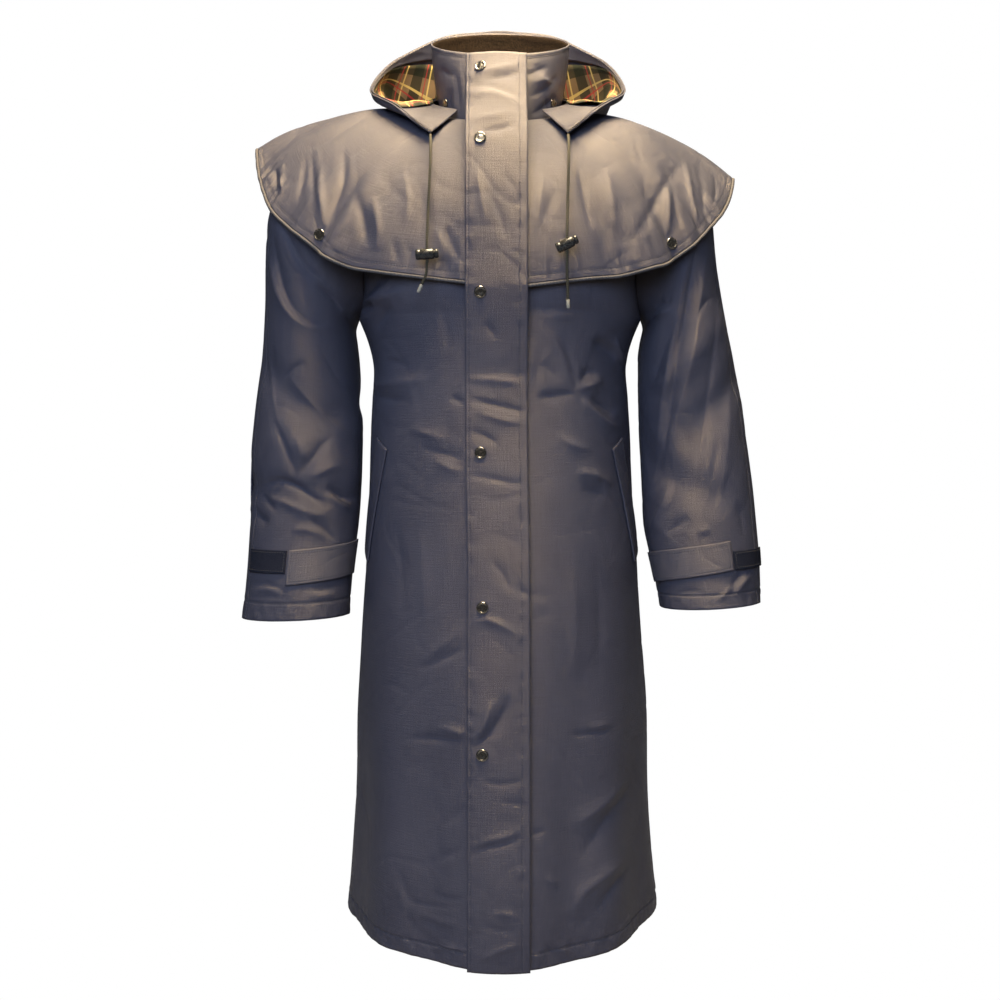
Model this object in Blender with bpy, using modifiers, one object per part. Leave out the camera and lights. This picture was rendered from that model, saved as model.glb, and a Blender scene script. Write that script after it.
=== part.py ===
"""Hooded riding coat with a shoulder cape, in its worn shape with no wearer.

Metres, +Z up. The coat faces -Y, so the wearer's right side is at -X. The origin lies between the
shoulders at the height of the neck seam, where the wearer carries the coat. Each cloth piece is one
open sheet of points, its outer face, thickened inwards.
"""
import math
from collections import namedtuple

import bpy
import numpy as np
from mathutils import Matrix, Vector

CLOTH = 0.0015          # shell cloth with its backing
LINING = 0.0010         # hood and collar lining
DOUBLE = 0.0022         # two layers sewn together: storm flap, tabs and welts
SEAM = 0.0003           # gap between two pieces
EASE = 0.0007           # gap under a piece that lies on another, with room for the facets
SIDES = {"right": -1.0, "left": 1.0}

# The torso as level rings from the hem up to the underarm.
BodyRing = namedtuple("BodyRing", "z half_width front back squareness")
BODY_RINGS = [
    BodyRing(-1.056, 0.2080, 0.214, 0.205, 1.86),
    BodyRing(-0.985, 0.2010, 0.206, 0.196, 1.95),
    BodyRing(-0.890, 0.1950, 0.194, 0.184, 2.05),
    BodyRing(-0.780, 0.1920, 0.180, 0.170, 2.15),
    BodyRing(-0.700, 0.1865, 0.170, 0.160, 2.2),
    BodyRing(-0.580, 0.1785, 0.156, 0.143, 2.3),
    BodyRing(-0.487, 0.1735, 0.147, 0.130, 2.3),
    BodyRing(-0.433, 0.1715, 0.143, 0.122, 2.3),
    BodyRing(-0.380, 0.1685, 0.140, 0.118, 2.3),
    BodyRing(-0.334, 0.1670, 0.139, 0.119, 2.3),
    BodyRing(-0.300, 0.1755, 0.139, 0.123, 2.3),
    BodyRing(-0.275, 0.1860, 0.140, 0.127, 2.3),
]
SKIRT_LEAN = 0.0026     # the skirt hangs this far to the wearer's left
HEM_DIP = 0.014         # the front hangs this much lower than the sides

# Neck seam: an ellipse that rises from the throat to the nape.
NECK_HALF_WIDTH = 0.078
NECK_HALF_DEPTH = 0.096
NECK_MID_Y = 0.004
NECK_MID_Z = -0.005
NECK_RISE = 0.033
SHOULDER_TIP = (0.205, 0.012, -0.058)
NECK_SHARE = 0.5        # part of a front's or back's top edge that belongs to the neck

# Control points between the underarm and the shoulder tip, and between chest and neck.
ARMHOLE_BENDS = {"front": ((0.158, -0.085, -0.245), (0.186, -0.058, -0.060)),
                 "back": ((0.164, 0.085, -0.245), (0.190, 0.078, -0.060))}
CENTRE_BENDS = {"front": ((0.0, -0.147, -0.185), (0.0, -0.116, -0.062)),
                "back": ((0.0, 0.138, -0.170), (0.0, 0.112, -0.020))}

# Soft folds of the skirt: where round the body (degrees from the front), how wide, how deep, from where.
Drape = namedtuple("Drape", "turn half_width depth top")
FRONT_DRAPES = {
    "right": [Drape(27, 9, -0.006, -0.55), Drape(46, 9, 0.005, -0.60), Drape(68, 9, -0.005, -0.62)],
    "left": [Drape(25, 8, -0.005, -0.60), Drape(42, 9, 0.005, -0.55), Drape(63, 10, -0.006, -0.55)],
}
BACK_DRAPES = [Drape(0, 9, -0.008, -0.50), Drape(22, 9, 0.006, -0.55), Drape(44, 9, -0.006, -0.60),
               Drape(68, 9, 0.005, -0.62)]

# Sleeves as rings from the armhole to the cuff: the overarm point, the underarm point, the depth.
SleeveRing = namedtuple("SleeveRing", "outer_x outer_z inner_x inner_z mid_y half_depth")
SLEEVE_RINGS = {
    "right": [
        SleeveRing(0.2050, -0.058, 0.1860, -0.275, 0.006, 0.076),
        SleeveRing(0.2700, -0.085, 0.1900, -0.283, 0.006, 0.084),
        SleeveRing(0.3020, -0.130, 0.1910, -0.292, 0.005, 0.084),
        SleeveRing(0.3085, -0.195, 0.1890, -0.308, 0.004, 0.081),
        SleeveRing(0.3105, -0.255, 0.1870, -0.328, 0.002, 0.079),
        SleeveRing(0.3140, -0.310, 0.1855, -0.352, 0.000, 0.077),
        SleeveRing(0.3200, -0.360, 0.1840, -0.385, -0.002, 0.075),
        SleeveRing(0.3250, -0.410, 0.1815, -0.415, -0.006, 0.073),
        SleeveRing(0.3300, -0.480, 0.1825, -0.483, -0.014, 0.071),
        SleeveRing(0.3280, -0.540, 0.1860, -0.540, -0.024, 0.068),
        SleeveRing(0.3300, -0.600, 0.1930, -0.600, -0.035, 0.065),
        SleeveRing(0.3365, -0.663, 0.1970, -0.659, -0.046, 0.063),
    ],
    "left": [
        SleeveRing(0.2050, -0.058, 0.1860, -0.275, 0.006, 0.076),
        SleeveRing(0.2580, -0.088, 0.1905, -0.284, 0.006, 0.084),
        SleeveRing(0.2770, -0.135, 0.1885, -0.293, 0.005, 0.084),
        SleeveRing(0.2830, -0.190, 0.1850, -0.306, 0.004, 0.081),
        SleeveRing(0.2910, -0.240, 0.1820, -0.325, 0.002, 0.079),
        SleeveRing(0.3015, -0.295, 0.1820, -0.350, 0.000, 0.077),
        SleeveRing(0.3140, -0.350, 0.1820, -0.380, -0.002, 0.075),
        SleeveRing(0.3220, -0.400, 0.1845, -0.415, -0.006, 0.073),
        SleeveRing(0.3310, -0.478, 0.1870, -0.483, -0.014, 0.071),
        SleeveRing(0.3355, -0.540, 0.1895, -0.545, -0.024, 0.068),
        SleeveRing(0.3390, -0.592, 0.2000, -0.600, -0.035, 0.065),
        SleeveRing(0.3395, -0.642, 0.2080, -0.650, -0.046, 0.063),
    ],
}
SLEEVE_BLEND = 0.16     # share of the sleeve that eases from the armhole into its rings
SLEEVE_OUT = 0.0016     # the sleeve starts this far outside the armhole's edge
SLEEVE_LENGTH = 0.61
SLEEVE_GIRTH = 0.44

# Large folds of a sleeve: from and to as degrees round it and share of its length, in order.
Fold = namedtuple("Fold", "turn_a down_a turn_b down_b half_width depth")
SLEEVE_FOLDS = {
    "right": [Fold(10, 0.74, 75, 0.77, 0.020, -0.006), Fold(40, 0.50, 120, 0.62, 0.026, -0.006),
              Fold(70, 0.66, 150, 0.72, 0.022, 0.005), Fold(200, 0.55, 300, 0.62, 0.028, -0.007),
              Fold(230, 0.70, 330, 0.74, 0.024, -0.006)],
    "left": [Fold(30, 0.55, 100, 0.66, 0.024, -0.006), Fold(80, 0.76, 150, 0.70, 0.020, -0.006),
             Fold(50, 0.42, 120, 0.50, 0.026, 0.005), Fold(210, 0.56, 310, 0.64, 0.028, -0.007),
             Fold(220, 0.72, 320, 0.70, 0.024, -0.006)],
}

# The cape as rays from the neck seam: a point half way down and a point on the hem.
CapeRay = namedtuple("CapeRay", "turn crest_x crest_y crest_z edge_x edge_y edge_z")
CAPE_RAYS = {
    "right": [
        CapeRay(22, 0.032, -0.139, -0.104, 0.030, -0.153, -0.240),
        CapeRay(40, 0.120, -0.122, -0.098, 0.186, -0.128, -0.216),
        CapeRay(58, 0.168, -0.088, -0.070, 0.248, -0.095, -0.1765),
        CapeRay(74, 0.196, -0.045, -0.035, 0.295, -0.052, -0.1310),
        CapeRay(84, 0.205, -0.012, -0.011, 0.315, -0.012, -0.081),
        CapeRay(90, 0.207, 0.010, -0.004, 0.321, 0.018, -0.046),
        CapeRay(98, 0.204, 0.036, -0.010, 0.315, 0.055, -0.072),
        CapeRay(112, 0.188, 0.078, -0.038, 0.288, 0.104, -0.135),
        CapeRay(132, 0.142, 0.115, -0.075, 0.215, 0.142, -0.198),
        CapeRay(156, 0.074, 0.140, -0.098, 0.115, 0.165, -0.235),
        CapeRay(180, 0.000, 0.148, -0.103, 0.000, 0.172, -0.247),
    ],
    "left": [
        CapeRay(22, 0.032, -0.139, -0.104, 0.030, -0.153, -0.243),
        CapeRay(40, 0.116, -0.122, -0.100, 0.174, -0.128, -0.222),
        CapeRay(58, 0.158, -0.090, -0.074, 0.226, -0.098, -0.198),
        CapeRay(74, 0.186, -0.048, -0.043, 0.278, -0.056, -0.148),
        CapeRay(84, 0.197, -0.012, -0.027, 0.300, -0.013, -0.112),
        CapeRay(90, 0.200, 0.010, -0.022, 0.308, 0.012, -0.085),
        CapeRay(98, 0.197, 0.036, -0.027, 0.302, 0.050, -0.108),
        CapeRay(112, 0.182, 0.078, -0.046, 0.276, 0.100, -0.158),
        CapeRay(132, 0.140, 0.115, -0.078, 0.210, 0.140, -0.205),
        CapeRay(156, 0.074, 0.140, -0.098, 0.115, 0.165, -0.237),
        CapeRay(180, 0.000, 0.148, -0.103, 0.000, 0.172, -0.247),
    ],
}
CAPE_NECK_OUT = 0.0034  # the cape's neck edge stands this far outside the collar
# Ripples of the cape's lower half: where (degrees at the neck), how wide, how deep, from where down.
Ripple = namedtuple("Ripple", "turn half_width depth start")
CAPE_RIPPLES = {
    "right": [Ripple(40, 3.0, -0.005, 0.45), Ripple(46, 2.6, 0.004, 0.50), Ripple(52, 3.0, -0.006, 0.40),
              Ripple(60, 3.2, 0.004, 0.45), Ripple(67, 3.0, -0.004, 0.50), Ripple(112, 6.0, -0.006, 0.40),
              Ripple(128, 6.0, 0.006, 0.45), Ripple(146, 6.0, -0.006, 0.45)],
    "left": [Ripple(36, 3.0, -0.005, 0.45), Ripple(43, 3.0, 0.004, 0.50), Ripple(56, 3.0, -0.005, 0.45),
             Ripple(63, 2.8, 0.004, 0.50), Ripple(70, 3.0, -0.004, 0.50), Ripple(114, 6.0, -0.006, 0.45),
             Ripple(132, 6.0, 0.006, 0.45), Ripple(150, 6.0, -0.006, 0.40)],
}
PIPING_RADIUS = 0.0023
PIPING_TRIM = 0.0022    # each piping ends this far inside its piece

# Collar: the neck seam below, this ellipse above.
COLLAR_HALF_WIDTH = 0.0915
COLLAR_HALF_DEPTH = 0.0920
COLLAR_MID_Y = 0.006
COLLAR_MID_Z = 0.0885
COLLAR_RISE = 0.0385
COLLAR_SWELL = 0.002    # how far its middle stands out
COLLAR_OPEN = 0.9       # degrees left open each side of the front

# Hood, lying open behind the collar: its section at each turn, from the neck edge to the face edge.
HoodRay = namedtuple("HoodRay", "turn neck_r neck_z inner_r inner_z low_r low_z outer_r outer_z "
                                "edge_r edge_z")
HOOD_RAYS = [
    HoodRay(35, 0.094, -0.017, 0.108, -0.027, 0.121, -0.037, 0.135, -0.047, 0.146, -0.054),
    HoodRay(60, 0.091, -0.005, 0.107, -0.014, 0.127, -0.020, 0.143, -0.019, 0.148, -0.012),
    HoodRay(90, 0.088, 0.010, 0.108, 0.009, 0.139, 0.008, 0.160, 0.013, 0.166, 0.028),
    HoodRay(118, 0.094, 0.024, 0.118, 0.008, 0.154, 0.004, 0.175, 0.040, 0.159, 0.086),
    HoodRay(133, 0.098, 0.030, 0.132, 0.000, 0.166, -0.035, 0.188, 0.018, 0.153, 0.110),
    HoodRay(148, 0.101, 0.034, 0.139, -0.042, 0.174, -0.097, 0.200, -0.020, 0.150, 0.131),
    HoodRay(180, 0.104, 0.038, 0.153, -0.078, 0.188, -0.155, 0.220, -0.050, 0.147, 0.147),
]
HOOD_SPREAD = {"right": 1.03, "left": 1.0}      # it lies a little wider to the wearer's right
HOOD_STATIONS = (0.0, 0.25, 0.5, 0.75, 1.0)
HOOD_LAYER_GAP = 0.0015
CASING_SHARE = 0.045    # part of the section, at the face edge, taken by the drawcord casing
LINING_START = 3        # columns of the hood's grid left bare of lining at each front corner

# Storm flap: sewn at the wearer's left, free at the wearer's right, from collar to hem.
FLAP_RIGHT_X = -0.0425
FLAP_LEFT_X = 0.0340
FLAP_PAST_HEM = 0.0015
FLAP_LIFT = DOUBLE + 0.0008
FLAP_OVER_PIPING = 0.0042
SNAP_X = -0.0240
SNAP_HEIGHTS = (0.0300, -0.0660, -0.2530, -0.4480, -0.6360, -0.8120)

# Snap cap, half section from its seat to its top (radius, height).
SNAP_PROFILE = [(0.0, 0.0), (0.0074, 0.0), (0.0075, 0.0010), (0.0062, 0.0020), (0.0050, 0.0016),
                (0.0, 0.0021)]
HOOD_SNAP_SCALE = 0.75
CAPE_SNAPS = {"right": (53.5, 0.952), "left": (57.0, 0.952)}      # turn and share down the cape
CAPE_SNAP_STAND = 0.0019                                        # room for the ripples under the cap
HOOD_SNAPS = (57.0, 0.22)                                       # turn and share up the collar

# Pieces lying on a panel: four corners (around, along), front top, rear top, front low, rear low.
WELT_CORNERS = ((0.587, 0.783), (0.700, 0.802), (0.790, 0.596), (0.905, 0.615))
TAB_CORNERS = {"right": ((176.0, 0.852), (83.0, 0.868), (176.0, 0.918), (83.0, 0.934)),
               "left": ((176.0, 0.874), (68.0, 0.850), (176.0, 0.940), (68.0, 0.915))}
PATCH_CORNERS = {"right": ((81.0, 0.868), (30.0, 0.868), (81.0, 0.912), (30.0, 0.912)),
                 "left": ((66.0, 0.873), (12.0, 0.873), (66.0, 0.915), (12.0, 0.915))}
PATCH_THICKNESS = 0.0016

# Drawcords: the way each free end hangs, through its cord lock, from the hood's corner.
CORD_RADIUS = 0.0017
CORD_STEP = 0.0085      # between two points of the cord's tube
BORE_RADIUS = 0.0022
CORD_ROUTES = {
    "right": [(-0.0858, -0.1188, -0.0570), (-0.0848, -0.1320, -0.0690), (-0.0846, -0.1420, -0.0900),
              (-0.0856, -0.1480, -0.1200), (-0.0868, -0.1520, -0.1500), (-0.0878, -0.1575, -0.1800),
              (-0.0882, -0.1600, -0.1950), (-0.0882, -0.1600, -0.2205), (-0.0900, -0.1600, -0.2340),
              (-0.0945, -0.1590, -0.2440)],
    "left": [(0.0840, -0.1188, -0.0570), (0.0842, -0.1320, -0.0690), (0.0836, -0.1420, -0.0900),
             (0.0828, -0.1480, -0.1200), (0.0818, -0.1530, -0.1500), (0.0811, -0.1600, -0.1780),
             (0.0809, -0.1610, -0.1840), (0.0809, -0.1610, -0.2070), (0.0812, -0.1600, -0.2300),
             (0.0822, -0.1590, -0.2620)],
}
LOCK_CENTRES = {"right": (-0.0882, -0.1600, -0.2077), "left": (0.0809, -0.1610, -0.1955)}
LOCK_TILTS = {"right": 4.0, "left": 26.0}      # degrees the barrel lifts to the wearer's left
LOCK_PROFILE = [(0.0, -0.0140), (0.0050, -0.0140), (0.0064, -0.0128), (0.0066, 0.0060), (0.0060, 0.0082),
                (0.0046, 0.0086), (0.0046, 0.0096), (0.0056, 0.0102), (0.0056, 0.0128), (0.0044, 0.0140),
                (0.0, 0.0140)]
TIP_RADIUS = 0.0022
TIP_LENGTH = 0.0110

COLOURS = {"cloth": (0.048, 0.047, 0.066), "lining": (0.23, 0.16, 0.09), "brown": (0.06, 0.04, 0.03),
           "piping": (0.12, 0.11, 0.115), "metal": (0.62, 0.60, 0.58), "cord": (0.04, 0.036, 0.026),
           "dark": (0.01, 0.01, 0.012), "pale": (0.30, 0.29, 0.27)}


def follow(knots, values, at):
    """Smooth curve through the rows of a table: cubics whose slopes come from the neighbouring rows."""
    knots = np.asarray(knots, float)
    values = np.asarray(values, float)
    at = np.clip(np.asarray(at, float), knots[0], knots[-1])
    slopes = np.gradient(values, knots, axis=0)
    low = np.clip(np.searchsorted(knots, at, side="right") - 1, 0, len(knots) - 2)
    step = knots[low + 1] - knots[low]
    t = (at - knots[low]) / step
    if values.ndim > 1:
        t, step = t[..., None], step[..., None]
    rest = 1.0 - t
    ends = values[low] * (1.0 + 2.0 * t) * rest ** 2 + values[low + 1] * (3.0 - 2.0 * t) * t ** 2
    return ends + (slopes[low] * t * rest ** 2 - slopes[low + 1] * rest * t ** 2) * step


def smoothstep(start, stop, value):
    """0 before start, 1 after stop, eased between them."""
    t = np.clip((value - start) / (stop - start), 0.0, 1.0)
    return t * t * (3.0 - 2.0 * t)


def bezier(points, t):
    """Cubic curve with the four given control points, at each t."""
    t = np.asarray(t, float)[..., None]
    a, b, c, d = (np.asarray(point, float) for point in points)
    return a * (1 - t) ** 3 + b * 3 * t * (1 - t) ** 2 + c * 3 * t ** 2 * (1 - t) + d * t ** 3


def stack(x, y, z):
    """Points from three arrays of one shape."""
    return np.stack(np.broadcast_arrays(x, y, z), axis=-1)


def mirrored(points, side):
    """Points worked out for the wearer's left, put on the given side."""
    return points * np.array([SIDES[side], 1.0, 1.0])


def neck_ring(turn):
    """Neck seam at each turn in degrees from the front: an ellipse that rises towards the nape."""
    angle = np.radians(turn)
    return stack(NECK_HALF_WIDTH * np.sin(angle), NECK_MID_Y - NECK_HALF_DEPTH * np.cos(angle),
                 NECK_MID_Z - NECK_RISE * np.cos(angle))


def ring_sizes(z):
    """Half width, front depth, back depth and squareness (2 is an ellipse) of the torso at each height."""
    return np.moveaxis(follow([ring.z for ring in BODY_RINGS], [ring[1:] for ring in BODY_RINGS], z), -1, 0)


def lean(z):
    """How far the skirt hangs to the wearer's left at each height."""
    return SKIRT_LEAN * smoothstep(-0.42, -0.62, z)


def torso(around, height, face, drapes):
    """Lower body: a superellipse at each height, pushed out or in by its drapes towards the hem.

    around runs from 0 at the centre line to 1 at the side seam, height from 0 at the hem to 1 at the
    underarm.
    """
    hem, underarm = BODY_RINGS[0].z, BODY_RINGS[-1].z
    angle = np.asarray(around) * math.pi / 2
    z = hem + (underarm - hem) * np.asarray(height)
    half_width, front, back, squareness = ring_sizes(z)
    depth = -front if face == "front" else back
    push = np.zeros(np.broadcast(angle, z).shape)
    for drape in drapes:
        across = np.exp(-((np.degrees(angle) - drape.turn) / drape.half_width) ** 2)
        push = push + drape.depth * across * smoothstep(drape.top, hem, z)
    power = 2.0 / squareness
    x = (half_width + push) * np.sin(angle) ** power
    y = (depth + np.sign(depth) * push) * np.cos(angle) ** power
    if face == "front":
        z = z - HEM_DIP * np.cos(angle) ** 2 * (1.0 - np.asarray(height)) ** 3
    return stack(x, y, z)


def leaning(points):
    """Points of the body moved by the skirt's lean."""
    return points + stack(lean(points[..., 2]), 0.0, 0.0)


def armhole(face, height):
    """Armhole edge of one panel, from the underarm (0) to the shoulder tip (1)."""
    underarm = (BODY_RINGS[-1].half_width, 0.0, BODY_RINGS[-1].z)
    return bezier((underarm, *ARMHOLE_BENDS[face], SHOULDER_TIP), height)


def shoulder_edge(face, around):
    """Top edge of one panel: the neck seam from the centre line, then the shoulder seam to its tip."""
    share = np.asarray(around) / NECK_SHARE
    turn = 90.0 * np.clip(share, 0.0, 1.0)
    neck = neck_ring(turn if face == "front" else 180.0 - turn)
    out = np.clip(share - 1.0, 0.0, 1.0)[..., None]
    return neck + out * (np.array(SHOULDER_TIP) - neck_ring(90.0))


def yoke(around, height, face):
    """Upper body between the underarm (0) and the shoulder (1), spanning its four edges.

    Going up, a column starts upright; it arrives level at the shoulder seam, so the two faces meet
    smoothly there, and sloping at the neck, where the cape lies over it.
    """
    around, height = np.broadcast_arrays(np.asarray(around, float), np.asarray(height, float))
    zero, one = np.zeros_like(around), np.ones_like(around)
    level = 1.0 - np.cos(height * math.pi / 2)
    arrives_level = np.sin(height * math.pi / 2)
    arrives_sloping = height * (1.25 - 0.25 * height)

    def span(at):
        at_shoulder = smoothstep(0.30, 0.56, at)
        upright = arrives_level * at_shoulder + arrives_sloping * (1.0 - at_shoulder)
        blend = np.stack([level, level, upright], axis=-1)
        return torso(at, one, face, []) * (1.0 - blend) + shoulder_edge(face, at) * blend

    base = torso(zero, one, face, [])[(0,) * around.ndim]
    top = shoulder_edge(face, zero)[(0,) * around.ndim]
    centre = bezier((base, *CENTRE_BENDS[face], top), height)
    u = around[..., None]
    return span(around) + (1.0 - u) * (centre - span(zero)) + u * (armhole(face, height) - span(one))


def body(around, along, face, drapes):
    """Whole panel: along runs from 0 at the hem over 1 at the underarm to 2 at the shoulder."""
    around, along = np.broadcast_arrays(np.asarray(around, float), np.asarray(along, float))
    lower = torso(around, np.clip(along, 0.0, 1.0), face, drapes)
    upper = yoke(around, np.clip(along - 1.0, 0.0, 1.0), face)
    return np.where((along <= 1.0)[..., None], lower, upper)


def fold_push(turn, down, folds):
    """Sum of soft folds: each is a bell curve of the distance to its line, measured on the cloth."""
    flat = np.stack([turn / 360.0 * SLEEVE_GIRTH, down * SLEEVE_LENGTH], axis=-1)
    push = np.zeros(flat.shape[:-1])
    for fold in folds:
        start = np.array([fold.turn_a / 360.0 * SLEEVE_GIRTH, fold.down_a * SLEEVE_LENGTH])
        line = np.array([fold.turn_b / 360.0 * SLEEVE_GIRTH, fold.down_b * SLEEVE_LENGTH]) - start
        share = np.clip(((flat - start) @ line) / (line @ line), 0.0, 1.0)
        distance = np.linalg.norm(flat - start - share[..., None] * line, axis=-1)
        push = push + fold.depth * np.exp(-(distance / fold.half_width) ** 2)
    return push


def sleeve(turn, down, side):
    """Sleeve: an ellipse through each ring's overarm and underarm points, eased in from the armhole.

    turn is 0 at the overarm seam, 90 in front, 180 at the underarm seam and 270 behind, in degrees.
    """
    turn, down = np.broadcast_arrays(np.asarray(turn, float), np.asarray(down, float))
    rings = np.array(SLEEVE_RINGS[side])
    row = np.moveaxis(follow(np.linspace(0.0, 1.0, len(rings)), rings, down), -1, 0)
    outer_x, outer_z, inner_x, inner_z, mid_y, half_depth = row
    angle = np.radians(turn)
    out = np.cos(angle)
    push = fold_push(turn, down, SLEEVE_FOLDS[side])
    half = np.hypot(outer_x - inner_x, outer_z - inner_z) / 2
    reach = out * (1.0 + push / half)
    tube = stack((outer_x + inner_x) / 2 + reach * (outer_x - inner_x) / 2,
                 mid_y - np.sin(angle) * (half_depth + push),
                 (outer_z + inner_z) / 2 + reach * (outer_z - inner_z) / 2)
    share = turn / 180.0
    rim = np.where((share <= 1.0)[..., None], armhole("front", 1.0 - np.clip(share, 0.0, 1.0)),
                   armhole("back", np.clip(share - 1.0, 0.0, 1.0)))
    ease = smoothstep(0.0, SLEEVE_BLEND, down)[..., None]
    rim = rim + np.array([SLEEVE_OUT, 0.0, 0.0])
    return mirrored(rim * (1.0 - ease) + tube * ease, side)


def cape(turn, down, side):
    """Cape: along each ray a parabola through the neck seam, the crest and the hem, with its ripples."""
    turn, down = np.broadcast_arrays(np.asarray(turn, float), np.asarray(down, float))
    rays = np.array(CAPE_RAYS[side])
    row = follow(rays[:, 0], rays[:, 1:], turn)
    crest, edge = row[..., :3], row[..., 3:]
    angle = np.radians(turn)
    away = stack(np.sin(angle), -np.cos(angle), np.zeros_like(angle))
    neck = neck_ring(turn) + CAPE_NECK_OUT * (away + np.array([0.0, 0.0, 1.0]))
    b = down[..., None]
    surface = neck * (1 - b) * (1 - 2 * b) + crest * 4 * b * (1 - b) + edge * b * (2 * b - 1)
    push = np.zeros_like(turn)
    for ripple in CAPE_RIPPLES[side]:
        across = np.exp(-((turn - ripple.turn) / ripple.half_width) ** 2)
        push = push + ripple.depth * across * smoothstep(ripple.start, 1.0, down)
    out = edge - np.array([0.0, 0.0, -0.32])
    out = out / np.linalg.norm(out, axis=-1, keepdims=True)
    return mirrored(surface + push[..., None] * out, side)


def collar(turn, up):
    """Collar: from the neck seam to its top ellipse, swelling a little half way up; turn is signed."""
    turn, up = np.broadcast_arrays(np.asarray(turn, float), np.asarray(up, float))
    angle = np.radians(turn)
    top = stack(COLLAR_HALF_WIDTH * np.sin(angle), COLLAR_MID_Y - COLLAR_HALF_DEPTH * np.cos(angle),
                COLLAR_MID_Z - COLLAR_RISE * np.cos(angle))
    away = stack(np.sin(angle), -np.cos(angle), np.zeros_like(angle))
    base = neck_ring(turn) + np.array([0.0, 0.0, 2 * SEAM])
    u = up[..., None]
    return base * (1 - u) + top * u + COLLAR_SWELL * 4 * u * (1 - u) * away


def hood(turn, share, side):
    """Hood: at each turn a smooth section through five stations, from the neck edge to the face edge."""
    turn, share = np.broadcast_arrays(np.asarray(turn, float), np.asarray(share, float))
    rays = np.array(HOOD_RAYS)
    row = follow(rays[:, 0], rays[:, 1:], turn)
    stations = row.reshape(*turn.shape, len(HOOD_STATIONS), 2)
    section = np.empty((*turn.shape, 2))
    for index in np.ndindex(turn.shape):
        section[index] = follow(HOOD_STATIONS, stations[index], share[index])
    angle = np.radians(turn)
    radius, z = section[..., 0], section[..., 1]
    spread = 1.0 + (HOOD_SPREAD[side] - 1.0) * share
    return mirrored(stack(spread * radius * np.sin(angle), NECK_MID_Y - radius * np.cos(angle), z), side)


def flap_profile():
    """Front line of the storm flap as heights and depths: clear of fronts, cape and collar, then smoothed."""
    heights = np.linspace(BODY_RINGS[0].z - HEM_DIP - FLAP_PAST_HEM, float(collar(0.0, 1.0)[2]), 241)
    front = body(0.0, np.linspace(0.0, 1.9, 200), "front", [])
    over = cape(CAPE_RAYS["right"][0].turn, np.linspace(0.0, 1.0, 60), "right")
    stand = collar(0.0, np.linspace(0.0, 1.0, 20))
    depth = np.interp(heights, front[:, 2], front[:, 1])
    depth[heights > front[-1, 2]] = stand[0, 1]
    on_cape = (heights > over[-1, 2]) & (heights < over[0, 2])
    cape_depth = np.interp(heights, over[::-1, 2], over[::-1, 1])
    depth = np.where(on_cape, np.minimum(depth, cape_depth - FLAP_OVER_PIPING), depth)
    on_collar = heights > stand[0, 2]
    depth = np.where(on_collar, np.interp(heights, stand[:, 2], stand[:, 1]), depth)
    window = 9
    padded = np.pad(depth, window, mode="edge")
    forward = np.min([padded[i:i + len(depth)] for i in range(4, 2 * window - 3)], axis=0)
    padded = np.pad(forward, window // 2, mode="edge")
    return heights, np.convolve(padded, np.ones(window) / window, mode="valid") - FLAP_LIFT


FLAP_HEIGHTS, FLAP_DEPTHS = flap_profile()


def flap(x, z):
    """Storm flap at each x and height: its front line, curving back to the sides like what is under it."""
    x, z = np.broadcast_arrays(np.asarray(x, float), np.asarray(z, float))
    half_width, front, _, squareness = ring_sizes(np.clip(z, BODY_RINGS[0].z, BODY_RINGS[-1].z))
    chest = front * (1.0 - (1.0 - (np.abs(x) / half_width) ** squareness) ** (1.0 / squareness))
    top = smoothstep(FLAP_HEIGHTS[-1] - 0.088, FLAP_HEIGHTS[-1], z)
    neck_width = NECK_HALF_WIDTH + (COLLAR_HALF_WIDTH - NECK_HALF_WIDTH) * top
    neck = NECK_HALF_DEPTH * (1.0 - np.sqrt(1.0 - (x / neck_width) ** 2))
    collar_part = smoothstep(-0.075, 0.0, z)
    y = np.interp(z, FLAP_HEIGHTS, FLAP_DEPTHS) + chest * (1.0 - collar_part) + neck * collar_part
    return stack(x + lean(z), y, z)


def grid_normals(grid):
    """Unit normals of a grid of points, from its rows and columns."""
    normals = np.cross(np.gradient(grid, axis=0), np.gradient(grid, axis=1))
    return normals / np.linalg.norm(normals, axis=-1, keepdims=True)


def facing_out(grid, inside):
    """The grid, its columns reversed if need be, so that its normals face away from a point inside."""
    facing = np.sum(grid_normals(grid) * (grid - np.array(inside)))
    return grid if facing > 0 else grid[:, ::-1]


def shifted(grid, distance):
    """The grid moved along its normals."""
    return grid + grid_normals(grid) * distance


def spot(surface, a, b, inside, step=1e-3):
    """A point of a surface and its outward normal there."""
    here = np.asarray(surface(a, b), float)
    normal = np.cross(surface(a + step, b) - here, surface(a, b + step) - here)
    normal = normal / np.linalg.norm(normal)
    return here, normal if normal @ (here - np.array(inside)) > 0 else -normal


def tinted(name, colour):
    """A plain material for one piece."""
    material = bpy.data.materials.new(name)
    material.use_nodes = True
    shader = material.node_tree.nodes["Principled BSDF"]
    shader.inputs["Base Color"].default_value = (*COLOURS[colour], 1.0)
    shader.inputs["Roughness"].default_value = 0.3 if colour in ("metal", "dark") else 0.6
    shader.inputs["Metallic"].default_value = 1.0 if colour == "metal" else 0.0
    return material


def placed(name, data, colour, collection):
    """A named object with its own material, linked into a collection."""
    thing = bpy.data.objects.new(name, data)
    data.materials.append(tinted(name, colour))
    collection.objects.link(thing)
    return thing


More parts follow.
